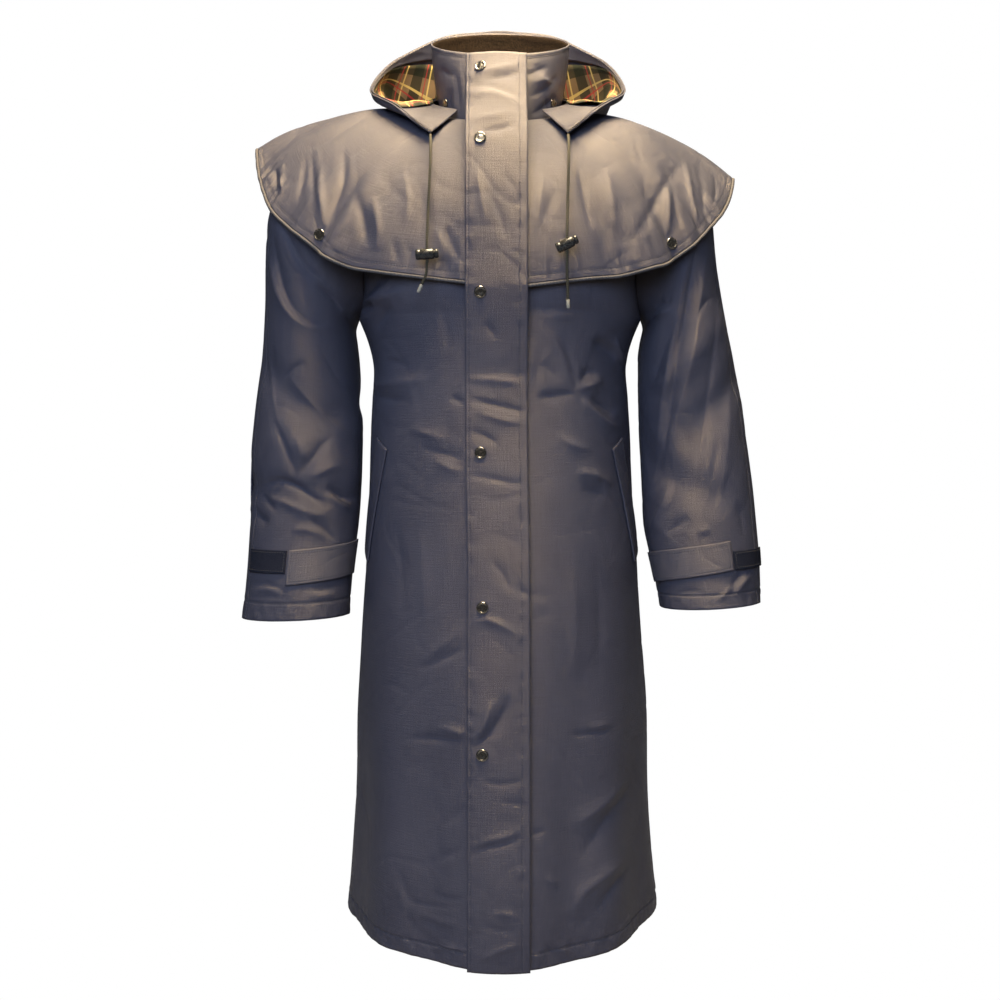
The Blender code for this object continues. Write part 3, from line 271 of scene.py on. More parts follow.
# Creases seen from the front: how far out, and how wide on the left and right of the way, in units of about
# 1 mm that crease_push scales; and the way as (x, z) points in mm.
Crease = namedtuple("Crease", "out left right way")
CREASES = {
    "sleeve_right": [
        Crease(-6.0, 9, 4, [(-288, -144), (-276, -166), (-265, -185), (-246, -213), (-225, -229),
                            (-207, -244)]),
        Crease(-4.5, 10, 4, [(-293, -165), (-287, -205), (-277, -243), (-261, -269), (-241, -284),
                             (-213, -285)]),
        Crease(3.0, 5, 8, [(-307, -170), (-295, -208), (-284, -246), (-266, -274), (-243, -290),
                           (-212, -289)]),
        Crease(-4.0, 4, 6, [(-232, -235), (-217, -249), (-203, -267)]),
        Crease(4.0, 10, 12, [(-273, -346), (-243, -382), (-211, -418), (-186, -433)]),
        Crease(-3.0, 4, 6, [(-280, -355), (-262, -340), (-246, -334)]),
        Crease(-2.5, 8, 8, [(-232, -312), (-217, -337), (-200, -371)]),
        Crease(1.4, 3, 3, [(-302, -297), (-295, -346), (-287, -397), (-278, -422)]),
        Crease(-5.0, 6, 7, [(-289, -407), (-272, -446), (-259, -478)]),
        Crease(-6.0, 10, 4, [(-262, -484), (-244, -465), (-226, -442), (-216, -428)]),
        Crease(2.5, 8, 8, [(-259, -429), (-253, -448), (-249, -460)]),
        Crease(3.0, 6, 8, [(-244, -483), (-223, -470), (-199, -463)]),
        Crease(-8.0, 6, 5, [(-307, -494), (-292, -487), (-275, -486), (-257, -493), (-234, -508),
                            (-215, -521)]),
        Crease(4.5, 9, 9, [(-304, -504), (-274, -513), (-242, -525), (-216, -530)]),
        Crease(-6.0, 9, 4, [(-221, -491), (-202, -507), (-188, -514)]),
        Crease(3.0, 4, 5, [(-222, -500), (-206, -514), (-192, -525)]),
        Crease(-3.5, 5, 5, [(-244, -533), (-225, -545), (-208, -563)]),
        Crease(2.5, 6, 6, [(-266, -546), (-239, -548), (-222, -557)]),
        Crease(-3.5, 4, 4, [(-307, -503), (-296, -513), (-285, -522)]),
        Crease(-6.0, 9, 10, [(-321, -519), (-311, -531), (-293, -538)]),
        Crease(-2.2, 4, 4, [(-328, -621), (-303, -615), (-285, -618), (-267, -627)]),
        Crease(1.6, 3, 3, [(-323, -627), (-294, -622), (-272, -631)]),
        Crease(-1.8, 3, 4, [(-317, -634), (-284, -630), (-263, -636)]),
        Crease(-2.2, 4, 5, [(-238, -622), (-217, -621), (-200, -617)]),
        Crease(1.8, 4, 4, [(-246, -628), (-226, -631), (-208, -630)]),
    ],
    "sleeve_left": [
        Crease(-5.0, 9, 3.5, [(250, -179), (242, -225), (234, -278), (226, -318), (219, -375),
                              (214, -417), (208, -461), (197, -502), (193, -514)]),
        Crease(2.5, 4, 5, [(240, -193), (232, -235), (224, -283), (217, -321), (209, -378),
                           (205, -420), (199, -463)]),
        Crease(-2.4, 4, 7, [(278, -249), (263, -257), (254, -269), (250, -285)]),
        Crease(3.6, 14, 9, [(270, -161), (256, -241), (246, -315), (221, -420), (192, -515)]),
        Crease(-2.6, 6, 16, [(284, -190), (277, -292), (261, -407), (245, -510)]),
        Crease(2.4, 12, 12, [(300, -335), (291, -433), (278, -526)]),
        Crease(-1.6, 5, 4, [(277, -433), (273, -469), (269, -489)]),
        Crease(-4.0, 10, 14, [(226, -275), (205, -330), (192, -385)]),
        Crease(3.0, 5, 5, [(198, -274), (210, -271), (221, -266)]),
        Crease(-2.5, 4, 4, [(197, -257), (213, -258), (220, -240)]),
        Crease(3.2, 4, 7, [(193, -552), (200, -536), (210, -511), (220, -485)]),
        Crease(-3.2, 6, 10, [(203, -544), (215, -518), (228, -477)]),
        Crease(-3.2, 7, 7, [(211, -553), (227, -541), (241, -529)]),
        Crease(2.0, 4, 4, [(250, -552), (259, -548), (269, -545)]),
        Crease(-3.2, 4, 4, [(314, -597), (303, -606), (292, -618)]),
        Crease(3.0, 5, 5, [(323, -604), (308, -615), (296, -631)]),
        Crease(2.2, 4, 4, [(273, -636), (284, -627), (293, -617)]),
        Crease(-1.6, 3, 3, [(220, -631), (241, -624), (260, -626)]),
        Crease(-2.0, 6, 6, [(302, -510), (310, -535), (312, -558)]),
    ],
    "front_right": [
        Crease(-4.0, 5, 6, [(-148, -227), (-163, -244), (-177, -255)]),
        Crease(3.0, 5, 5, [(-131, -229), (-143, -243), (-171, -258)]),
        Crease(-5.0, 3.5, 5, [(-180, -265), (-174, -263), (-159, -264)]),
        Crease(-4.0, 8, 8, [(-134, -264), (-146, -276), (-160, -293)]),
        Crease(3.2, 7, 9, [(-178, -257), (-144, -253), (-113, -245)]),
        Crease(-3.0, 5, 6, [(-148, -333), (-131, -335), (-115, -341)]),
        Crease(4.2, 10, 12, [(-167, -363), (-125, -361), (-89, -357)]),
        Crease(-4.0, 8, 8, [(-167, -372), (-139, -381), (-110, -383)]),
        Crease(2.6, 8, 8, [(-113, -418), (-89, -426), (-66, -433)]),
        Crease(2.2, 6, 8, [(-82, -457), (-64, -466), (-46, -472)]),
        Crease(-2.4, 6, 6, [(-99, -442), (-68, -450), (-44, -455)]),
        Crease(-3.0, 4, 5, [(-63, -378), (-52, -383), (-42, -387)]),
        Crease(-2.0, 9, 9, [(-76, -261), (-66, -298), (-64, -324)]),
        Crease(-2.6, 4, 3, [(-101, -718), (-84, -707), (-66, -698), (-39, -685)]),
        Crease(1.6, 6, 6, [(-97, -709), (-74, -687), (-56, -672), (-38, -659)]),
        Crease(-2.6, 4, 4, [(-118, -802), (-86, -798), (-39, -799)]),
        Crease(2.6, 4, 5, [(-76, -785), (-55, -787), (-36, -792)]),
        Crease(-2.2, 6, 6, [(-35, -872), (-49, -883), (-63, -901)]),
        Crease(-1.3, 3, 3, [(-132, -954), (-119, -979), (-109, -998), (-86, -1001), (-62, -998),
                            (-39, -996)]),
        Crease(-1.3, 3, 3, [(-92, -954), (-68, -939), (-45, -926)]),
        Crease(1.4, 3, 3, [(-106, -1014), (-88, -1015), (-74, -1018), (-49, -1017)]),
        Crease(-1.4, 3, 3, [(-118, -1004), (-109, -1025), (-88, -1042)]),
        Crease(1.5, 4, 4, [(-129, -977), (-121, -1000), (-116, -1022)]),
        Crease(-1.5, 3, 3, [(-85, -986), (-66, -989), (-41, -985)]),
        Crease(1.4, 3, 4, [(-88, -1056), (-67, -1048), (-36, -1047)]),
        Crease(-1.6, 4, 4, [(-143, -1061), (-125, -1064), (-108, -1066)]),
        Crease(-2.0, 8, 8, [(-132, -533), (-123, -595), (-120, -656)]),
        Crease(1.5, 9, 9, [(-99, -544), (-94, -606), (-94, -667)]),
    ],
    "front_left": [
        Crease(-2.2, 3, 5, [(38, -270), (69, -271), (109, -271)]),
        Crease(2.0, 5, 6, [(43, -278), (71, -280), (101, -278)]),
        Crease(3.0, 8, 8, [(42, -285), (69, -317), (93, -368)]),
        Crease(-3.2, 8, 6, [(74, -302), (86, -330), (95, -370)]),
        Crease(-7.0, 8, 10, [(116, -309), (133, -315), (151, -330)]),
        Crease(4.0, 4, 4, [(147, -304), (153, -320), (161, -337)]),
        Crease(-5.0, 6, 8, [(100, -361), (113, -348), (123, -354)]),
        Crease(4.0, 5, 5, [(95, -370), (115, -363), (131, -357)]),
        Crease(-7.0, 8, 8, [(113, -378), (131, -389), (149, -400)]),
        Crease(4.2, 5, 7, [(100, -381), (120, -398), (139, -413), (157, -415)]),
        Crease(-4.0, 4, 14, [(43, -381), (69, -376), (95, -374)]),
        Crease(-2.2, 6, 6, [(49, -337), (64, -348), (74, -359)]),
        Crease(4.0, 8, 6, [(93, -472), (123, -479), (143, -490)]),
        Crease(-3.2, 8, 10, [(97, -496), (115, -496), (133, -503)]),
        Crease(2.4, 6, 7, [(69, -426), (93, -440), (115, -444)]),
        Crease(-2.2, 4, 4, [(35, -911), (43, -908), (55, -904)]),
        Crease(1.6, 3, 3, [(55, -960), (61, -964), (70, -973)]),
        Crease(-5.0, 14, 14, [(177, -865), (134, -901), (97, -947)]),
        Crease(4.0, 10, 10, [(162, -959), (123, -973), (94, -997), (90, -1020)]),
        Crease(-4.0, 10, 10, [(164, -972), (139, -988), (118, -1011)]),
        Crease(3.2, 10, 10, [(88, -905), (124, -886), (160, -860)]),
        Crease(-2.2, 4, 5, [(85, -794), (116, -793), (148, -794)]),
        Crease(1.8, 4, 5, [(105, -787), (124, -786), (140, -786)]),
        Crease(1.6, 3, 4, [(39, -1044), (45, -1053), (49, -1062)]),
        Crease(2.0, 4, 4, [(71, -1048), (79, -1054), (89, -1063)]),
        Crease(-1.6, 4, 4, [(54, -1039), (66, -1055), (80, -1068)]),
        Crease(-1.4, 3, 3, [(101, -994), (113, -985), (124, -973)]),
        Crease(-2.4, 10, 10, [(119, -582), (124, -656), (121, -729)]),
        Crease(1.8, 10, 10, [(89, -580), (93, -654), (91, -727)]),
    ],
    "flap": [
        Crease(2.0, 5, 6, [(-40, -357), (-6, -359), (29, -364)]),
        Crease(-3.0, 4, 5, [(-41, -382), (-12, -388), (31, -399)]),
        Crease(2.0, 5, 5, [(-29, -398), (4, -408), (32, -413)]),
        Crease(-2.0, 5, 5, [(-21, -287), (-12, -298), (-4, -308)]),
        Crease(-2.0, 5, 5, [(-37, -420), (-18, -428), (0, -439)]),
        Crease(2.2, 4, 6, [(-42, -7), (-25, -7), (-9, -7), (13, -16), (31, -27)]),
        Crease(-3.0, 6, 4, [(-41, 4), (-17, 4), (8, -4), (31, -12)]),
        Crease(-2.5, 4, 4, [(-24, -57), (-3, -55), (22, -47)]),
        Crease(1.6, 5, 5, [(-37, -42), (-12, -39), (19, -31)]),
        Crease(-4.6, 8, 6, [(13, -740), (0, -768), (-17, -792), (-35, -806)]),
        Crease(3.0, 5, 5, [(-10, -745), (-24, -785), (-38, -796)]),
        Crease(-2.4, 3, 3, [(-36, -934), (-24, -924), (-12, -921), (9, -916), (30, -906)]),
        Crease(1.6, 4, 4, [(-35, -923), (-17, -914), (6, -908), (27, -901)]),
        Crease(1.6, 3, 4, [(-15, -998), (4, -999), (24, -1004)]),
        Crease(2.0, 3, 4, [(-29, -1058), (-4, -1045), (26, -1034)]),
        Crease(-1.6, 4, 4, [(-24, -1013), (0, -1018), (24, -1020)]),
        Crease(2.0, 4, 6, [(-39, -657), (-21, -650), (0, -656), (22, -670)]),
        Crease(-1.8, 5, 5, [(-12, -579), (4, -596), (12, -615)]),
        Crease(-1.6, 6, 6, [(-14, -131), (0, -161), (6, -191)]),
        Crease(1.5, 6, 6, [(-29, -106), (-22, -142), (-19, -173)]),
        Crease(-1.8, 4, 4, [(-40, -475), (-12, -479), (30, -488)]),
        Crease(-1.6, 4, 4, [(-24, -842), (0, -846), (29, -842)]),
        Crease(-1.4, 3, 3, [(0, -866), (14, -869), (30, -867)]),
        Crease(-3.2, 4, 6, [(-24, 12), (2, 16), (31, 24)]),
        Crease(2.0, 5, 5, [(-32, 22), (0, 27), (28, 35)]),
    ],
    "cape_right": [
        Crease(-3.0, 3, 4, [(-242, -61), (-237, -104), (-232, -140)]),
        Crease(3.0, 4, 5, [(-229, -80), (-226, -120), (-218, -170)]),
        Crease(-3.2, 5, 5, [(-199, -63), (-196, -108), (-205, -140), (-214, -166)]),
        Crease(-4.0, 8, 6, [(-179, -126), (-168, -164), (-162, -197)]),
        Crease(3.0, 8, 8, [(-158, -133), (-150, -169), (-151, -202)]),
        Crease(-2.6, 4, 4, [(-249, -68), (-251, -103), (-256, -133)]),
        Crease(2.6, 4, 4, [(-284, -74), (-282, -96), (-279, -119)]),
        Crease(-2.6, 4, 4, [(-291, -80), (-290, -98), (-287, -118)]),
        Crease(-2.6, 6, 4, [(-69, -173), (-60, -193), (-48, -219)]),
        Crease(1.8, 5, 5, [(-77, -172), (-71, -194), (-66, -215)]),
        Crease(-1.6, 3, 3, [(-131, -185), (-128, -202), (-123, -219)]),
        Crease(-1.8, 3, 3, [(-113, -193), (-109, -207), (-113, -222)]),
        Crease(1.5, 6, 6, [(-117, -101), (-113, -139), (-115, -170)]),
    ],
    "cape_left": [
        Crease(-3.0, 6, 5, [(95, -92), (102, -133), (111, -179)]),
        Crease(3.0, 12, 12, [(130, -94), (138, -144), (140, -188)]),
        Crease(-3.2, 9, 5, [(239, -68), (205, -117), (179, -163), (162, -193)]),
        Crease(3.0, 4, 4, [(211, -112), (211, -145), (209, -178)]),
        Crease(-2.6, 5, 3, [(219, -107), (220, -142), (226, -169)]),
        Crease(2.6, 3, 3, [(241, -68), (244, -122), (250, -162)]),
        Crease(-2.6, 5, 4, [(257, -72), (261, -112), (260, -145)]),
        Crease(-1.6, 6, 6, [(69, -126), (61, -146), (54, -169)]),
        Crease(1.6, 6, 6, [(55, -102), (49, -140), (45, -178)]),
        Crease(-2.0, 4, 4, [(281, -86), (280, -112), (272, -133)]),
    ],
    "collar": [
        Crease(-3.0, 4, 5, [(38, -2), (57, 11), (73, 32)]),
        Crease(1.8, 5, 5, [(40, 15), (57, 22), (72, 22)]),
        Crease(-3.0, 3, 3, [(-57, 37), (-52, 2), (-50, -23)]),
        Crease(1.8, 3, 3, [(-48, 26), (-46, 1), (-45, -19)]),
        Crease(-2.4, 3, 3, [(57, 5), (62, -8), (63, -20)]),
        Crease(-3.0, 5, 4, [(33, 24), (46, 31), (60, 40)]),
        Crease(-3.4, 4, 6, [(41, -24), (57, -10), (74, 8)]),
        Crease(2.0, 6, 6, [(37, 36), (54, 24), (70, 8)]),
        Crease(-2.8, 4, 4, [(-62, 14), (-64, -4), (-61, -20)]),
        Crease(-2.6, 5, 5, [(-77, 44), (-68, 34), (-58, 26)]),
    ],
    "back": [
        Crease(-5.0, 8, 9, [(-168, -262), (-140, -290), (-105, -310)]),
        Crease(4.0, 7, 9, [(-172, -285), (-138, -318), (-96, -342)]),
        Crease(-4.0, 6, 8, [(-166, -330), (-130, -352), (-84, -360)]),
        Crease(-5.0, 9, 8, [(170, -258), (143, -283), (100, -297)]),
        Crease(4.0, 8, 7, [(171, -290), (132, -312), (92, -338)]),
        Crease(-3.5, 7, 6, [(168, -345), (126, -366), (70, -372)]),
        Crease(-3.0, 8, 8, [(-90, -430), (-30, -442), (40, -436)]),
        Crease(3.0, 9, 9, [(-60, -462), (0, -470), (74, -460)]),
        Crease(-2.5, 6, 7, [(20, -500), (66, -496), (112, -486)]),
        Crease(2.2, 6, 6, [(-120, -492), (-84, -500), (-46, -498)]),
        Crease(-2.6, 9, 10, [(-118, -600), (-122, -690), (-128, -790)]),
        Crease(2.4, 10, 10, [(-60, -640), (-64, -740), (-70, -850)]),
        Crease(-2.4, 10, 9, [(66, -610), (72, -720), (78, -830)]),
        Crease(2.6, 9, 9, [(122, -620), (130, -730), (134, -840)]),
        Crease(-4.0, 12, 12, [(-170, -880), (-130, -920), (-100, -960)]),
        Crease(3.0, 10, 10, [(165, -890), (128, -930), (100, -985)]),
        Crease(-1.6, 4, 4, [(-110, -980), (-70, -992), (-30, -988)]),
        Crease(1.5, 4, 4, [(20, -1004), (60, -1012), (104, -1002)]),
        Crease(-1.5, 3, 4, [(-150, -1030), (-118, -1042), (-82, -1040)]),
        Crease(1.4, 3, 4, [(60, -1046), (96, -1040), (140, -1046)]),
    ],
    "cape_back": [
        Crease(-3.5, 7, 6, [(-150, -90), (-146, -130), (-150, -180)]),
        Crease(3.0, 8, 8, [(-105, -100), (-100, -150), (-104, -205)]),
        Crease(-2.8, 7, 7, [(-55, -130), (-50, -170), (-54, -215)]),
        Crease(2.4, 8, 8, [(10, -140), (14, -180), (8, -220)]),
        Crease(-3.0, 7, 6, [(62, -110), (66, -160), (60, -212)]),
        Crease(2.8, 7, 8, [(112, -100), (118, -145), (112, -200)]),
        Crease(-3.2, 6, 6, [(160, -88), (166, -130), (160, -180)]),
        Crease(2.0, 5, 5, [(195, -90), (200, -130), (198, -165)]),
        Crease(-2.0, 5, 5, [(-200, -85), (-204, -125), (-200, -160)]),
    ],
}


def follow(knots, values, at):
    """Smooth curve through the rows of a table: cubics whose slopes come from the neighbouring rows."""
    knots = np.asarray(knots, float)
    values = np.asarray(values, float)
    at = np.clip(np.asarray(at, float), knots[0], knots[-1])
    slopes = np.gradient(values, knots, axis=0)
    low = np.clip(np.searchsorted(knots, at, side="right") - 1, 0, len(knots) - 2)
    step = knots[low + 1] - knots[low]
    t = (at - knots[low]) / step
    if values.ndim > 1:
        t, step = t[..., None], step[..., None]
    rest = 1.0 - t
    ends = values[low] * (1.0 + 2.0 * t) * rest ** 2 + values[low + 1] * (3.0 - 2.0 * t) * t ** 2
    return ends + (slopes[low] * t * rest ** 2 - slopes[low + 1] * rest * t ** 2) * step


def smoothstep(start, stop, value):
    """0 before start, 1 after stop, eased between them."""
    t = np.clip((value - start) / (stop - start), 0.0, 1.0)
    return t * t * (3.0 - 2.0 * t)


def bezier(points, t):
    """Cubic curve with the four given control points, at each t."""
    t = np.asarray(t, float)[..., None]
    a, b, c, d = (np.asarray(point, float) for point in points)
    return a * (1 - t) ** 3 + b * 3 * t * (1 - t) ** 2 + c * 3 * t ** 2 * (1 - t) + d * t ** 3


def stack(x, y, z):
    """Points from three arrays of one shape."""
    return np.stack(np.broadcast_arrays(x, y, z), axis=-1)


def mirrored(points, side):
    """Points worked out for the wearer's left, put on the given side."""
    return points * np.array([SIDES[side], 1.0, 1.0])


def neck_ring(turn):
    """Neck seam at each turn in degrees from the front: an ellipse that rises towards the nape."""
    angle = np.radians(turn)
    return stack(NECK_HALF_WIDTH * np.sin(angle), NECK_MID_Y - NECK_HALF_DEPTH * np.cos(angle),
                 NECK_MID_Z - NECK_RISE * np.cos(angle))


def ring_sizes(z):
    """Half width, front depth, back depth and squareness (2 is an ellipse) of the torso at each height."""
    return np.moveaxis(follow([ring.z for ring in BODY_RINGS], [ring[1:] for ring in BODY_RINGS], z), -1, 0)


def lean(z):
    """How far the skirt hangs to the wearer's left at each height."""
    return SKIRT_LEAN * smoothstep(-0.42, -0.62, z)


def torso(around, height, face, drapes):
    """Lower body: a superellipse at each height, pushed out or in by its drapes towards the hem.

    around runs from 0 at the centre line to 1 at the side seam, height from 0 at the hem to 1 at the
    underarm.
    """
    hem, underarm = BODY_RINGS[0].z, BODY_RINGS[-1].z
    angle = np.asarray(around) * math.pi / 2
    z = hem + (underarm - hem) * np.asarray(height)
    half_width, front, back, squareness = ring_sizes(z)
    depth = -front if face == "front" else back
    push = np.zeros(np.broadcast(angle, z).shape)
    for drape in drapes:
        across = np.exp(-((np.degrees(angle) - drape.turn) / drape.half_width) ** 2)
        push = push + drape.depth * across * smoothstep(drape.top, hem, z)
    power = 2.0 / squareness
    x = (half_width + push) * np.sin(angle) ** power
    y = (depth + np.sign(depth) * push) * np.cos(angle) ** power
    if face == "front":
        z = z - HEM_DIP * np.cos(angle) ** 2 * (1.0 - np.asarray(height)) ** 3
    return stack(x, y, z)


def leaning(points):
    """Points of the body moved by the skirt's lean."""
    return points + stack(lean(points[..., 2]), 0.0, 0.0)


def armhole(face, height):
    """Armhole edge of one panel, from the underarm (0) to the shoulder tip (1)."""
    underarm = (BODY_RINGS[-1].half_width, 0.0, BODY_RINGS[-1].z)
    return bezier((underarm, *ARMHOLE_BENDS[face], SHOULDER_TIP), height)


def shoulder_edge(face, around):
    """Top edge of one panel: the neck seam from the centre line, then the shoulder seam to its tip."""
    share = np.asarray(around) / NECK_SHARE
    turn = 90.0 * np.clip(share, 0.0, 1.0)
    neck = neck_ring(turn if face == "front" else 180.0 - turn)
    out = np.clip(share - 1.0, 0.0, 1.0)[..., None]
    return neck + out * (np.array(SHOULDER_TIP) - neck_ring(90.0))


def yoke(around, height, face):
    """Upper body between the underarm (0) and the shoulder (1), spanning its four edges.

    Going up, a column starts upright; it arrives level at the shoulder seam, so the two faces meet
    smoothly there, and sloping at the neck, where the cape lies over it.
    """
    around, height = np.broadcast_arrays(np.asarray(around, float), np.asarray(height, float))
    zero, one = np.zeros_like(around), np.ones_like(around)
    level = 1.0 - np.cos(height * math.pi / 2)
    arrives_level = np.sin(height * math.pi / 2)
    arrives_sloping = height * (1.25 - 0.25 * height)

    def span(at):
        """From the underarm ring to the top edge, each coordinate at its own pace."""
        at_shoulder = smoothstep(0.30, 0.56, at)
        upright = arrives_level * at_shoulder + arrives_sloping * (1.0 - at_shoulder)
        blend = np.stack([level, level, upright], axis=-1)
        return torso(at, one, face, []) * (1.0 - blend) + shoulder_edge(face, at) * blend

    base = torso(zero, one, face, [])[(0,) * around.ndim]
    top = shoulder_edge(face, zero)[(0,) * around.ndim]
    centre = bezier((base, *CENTRE_BENDS[face], top), height)
    u = around[..., None]
    return span(around) + (1.0 - u) * (centre - span(zero)) + u * (armhole(face, height) - span(one))


def body(around, along, face, drapes):
    """Whole panel: along runs from 0 at the hem over 1 at the underarm to 2 at the shoulder."""
    around, along = np.broadcast_arrays(np.asarray(around, float), np.asarray(along, float))
    lower = torso(around, np.clip(along, 0.0, 1.0), face, drapes)
    upper = yoke(around, np.clip(along - 1.0, 0.0, 1.0), face)
    return np.where((along <= 1.0)[..., None], lower, upper)


def fold_push(turn, down, folds):
    """Sum of soft folds: each is a bell curve of the distance to its line, measured on the cloth."""
    flat = np.stack([turn / 360.0 * SLEEVE_GIRTH, down * SLEEVE_LENGTH], axis=-1)
    push = np.zeros(flat.shape[:-1])
    for fold in folds:
        start = np.array([fold.turn_a / 360.0 * SLEEVE_GIRTH, fold.down_a * SLEEVE_LENGTH])
        line = np.array([fold.turn_b / 360.0 * SLEEVE_GIRTH, fold.down_b * SLEEVE_LENGTH]) - start
        share = np.clip(((flat - start) @ line) / (line @ line), 0.0, 1.0)
        distance = np.linalg.norm(flat - start - share[..., None] * line, axis=-1)
        push = push + fold.depth * np.exp(-(distance / fold.half_width) ** 2)
    return push


def sleeve(turn, down, side):
    """Sleeve: an ellipse through each ring's overarm and underarm points, eased in from the armhole.

    turn is 0 at the overarm seam, 90 in front, 180 at the underarm seam and 270 behind, in degrees.
    """
    turn, down = np.broadcast_arrays(np.asarray(turn, float), np.asarray(down, float))
    rings = np.array(SLEEVE_RINGS[side])
    row = np.moveaxis(follow(np.linspace(0.0, 1.0, len(rings)), rings, down), -1, 0)
    outer_x, outer_z, inner_x, inner_z, mid_y, half_depth = row
    angle = np.radians(turn)
    out = np.cos(angle)
    push = fold_push(turn, down, SLEEVE_FOLDS[side])
    half = np.hypot(outer_x - inner_x, outer_z - inner_z) / 2
    reach = out * (1.0 + push / half)
    tube = stack((outer_x + inner_x) / 2 + reach * (outer_x - inner_x) / 2,
                 mid_y - np.sin(angle) * (half_depth + push),
                 (outer_z + inner_z) / 2 + reach * (outer_z - inner_z) / 2)
    share = turn / 180.0
    rim = np.where((share <= 1.0)[..., None], armhole("front", 1.0 - np.clip(share, 0.0, 1.0)),
                   armhole("back", np.clip(share - 1.0, 0.0, 1.0)))
    ease = smoothstep(0.0, SLEEVE_BLEND, down)[..., None]
    rim = rim + np.array([SLEEVE_OUT, 0.0, 0.0])
    return mirrored(rim * (1.0 - ease) + tube * ease, side)


def cape(turn, down, side):
    """Cape: along each ray a parabola through the neck seam, the crest and the hem, with its ripples."""
    turn, down = np.broadcast_arrays(np.asarray(turn, float), np.asarray(down, float))
    rays = np.array(CAPE_RAYS[side])
    row = follow(rays[:, 0], rays[:, 1:], turn)
    crest, edge = row[..., :3], row[..., 3:]
    angle = np.radians(turn)
    away = stack(np.sin(angle), -np.cos(angle), np.zeros_like(angle))
    neck = neck_ring(turn) + CAPE_NECK_OUT * (away + np.array([0.0, 0.0, 1.0]))
    b = down[..., None]
    surface = neck * (1 - b) * (1 - 2 * b) + crest * 4 * b * (1 - b) + edge * b * (2 * b - 1)
    push = np.zeros_like(turn)
    for ripple in CAPE_RIPPLES[side]:
        across = np.exp(-((turn - ripple.turn) / ripple.half_width) ** 2)
        push = push + ripple.depth * across * smoothstep(ripple.start, 1.0, down)
    out = edge - np.array([0.0, 0.0, -0.32])
    out = out / np.linalg.norm(out, axis=-1, keepdims=True)
    return mirrored(surface + push[..., None] * out, side)


def collar(turn, up):
    """Collar: from the neck seam to its top ellipse, swelling a little half way up; turn is signed."""
    turn, up = np.broadcast_arrays(np.asarray(turn, float), np.asarray(up, float))
    angle = np.radians(turn)
    top = stack(COLLAR_HALF_WIDTH * np.sin(angle), COLLAR_MID_Y - COLLAR_HALF_DEPTH * np.cos(angle),
                COLLAR_MID_Z - COLLAR_RISE * np.cos(angle))
    away = stack(np.sin(angle), -np.cos(angle), np.zeros_like(angle))
    base = neck_ring(turn) + np.array([0.0, 0.0, 2 * SEAM])
    u = up[..., None]
    return base * (1 - u) + top * u + COLLAR_SWELL * 4 * u * (1 - u) * away


def along_section(stations, share):
    """As follow, with a table of its own at every point: the hood's five stations."""
    knots = np.array(HOOD_STATIONS)
    slopes = np.gradient(stations, knots, axis=-2)
    low = np.clip(np.searchsorted(knots, share, side="right") - 1, 0, len(knots) - 2)
    start, stop = low[..., None, None], low[..., None, None] + 1
    step = (knots[low + 1] - knots[low])[..., None]
    t = (share[..., None] - knots[low][..., None]) / step
    rest = 1.0 - t
    ends = np.take_along_axis(stations, start, -2)[..., 0, :] * (1.0 + 2.0 * t) * rest ** 2
    ends = ends + np.take_along_axis(stations, stop, -2)[..., 0, :] * (3.0 - 2.0 * t) * t ** 2
    turns = np.take_along_axis(slopes, start, -2)[..., 0, :] * t * rest ** 2
    turns = turns - np.take_along_axis(slopes, stop, -2)[..., 0, :] * rest * t ** 2
    return ends + turns * step


def hood(turn, share, side):
    """Hood: at each turn a smooth section through five stations, from the neck edge to the face edge."""
    turn, share = np.broadcast_arrays(np.asarray(turn, float), np.asarray(share, float))
    rays = np.array(HOOD_RAYS)
    stations = follow(rays[:, 0], rays[:, 1:], turn).reshape(*turn.shape, len(HOOD_STATIONS), 2)
    section = along_section(stations, share)
    angle = np.radians(turn)
    radius, z = section[..., 0], section[..., 1]
    spread = 1.0 + (HOOD_SPREAD[side] - 1.0) * share
    return mirrored(stack(spread * radius * np.sin(angle), NECK_MID_Y - radius * np.cos(angle), z), side)


FLAP_WINDOW = 23        # profile points over which the flap bridges what lies under it


def flap_profile():
    """Front line of the storm flap as heights and depths, clear of fronts, cape and collar.

    At each height it takes the foremost depth within a window, and then a running mean of those, so that
    it bridges the cape's hem.
    """
    heights = np.linspace(BODY_RINGS[0].z - HEM_DIP - FLAP_PAST_HEM, float(collar(0.0, 1.0)[2]), 241)
    front = body(0.0, np.linspace(0.0, 1.9, 200), "front", [])
    over = cape(CAPE_RAYS["right"][0].turn, np.linspace(0.0, 1.0, 60), "right")
    stand = collar(0.0, np.linspace(0.0, 1.0, 20))
    depth = np.interp(heights, front[:, 2], front[:, 1])
    depth[heights > front[-1, 2]] = stand[0, 1]
    on_cape = (heights > over[-1, 2]) & (heights < over[0, 2])
    cape_depth = np.interp(heights, over[::-1, 2], over[::-1, 1])
    depth = np.where(on_cape, np.minimum(depth, cape_depth - FLAP_OVER_PIPING), depth)
    on_collar = heights > stand[0, 2]
    depth = np.where(on_collar, np.interp(heights, stand[:, 2], stand[:, 1]), depth)
    half = FLAP_WINDOW // 2
    padded = np.pad(depth, FLAP_WINDOW, mode="edge")
    shifts = range(half, FLAP_WINDOW + half + 2)
    foremost = np.min([padded[shift:shift + len(depth)] for shift in shifts], axis=0)
    padded = np.pad(foremost, half, mode="edge")
    return heights, np.convolve(padded, np.ones(FLAP_WINDOW) / FLAP_WINDOW, mode="valid") - FLAP_LIFT


FLAP_HEIGHTS, FLAP_DEPTHS = flap_profile()


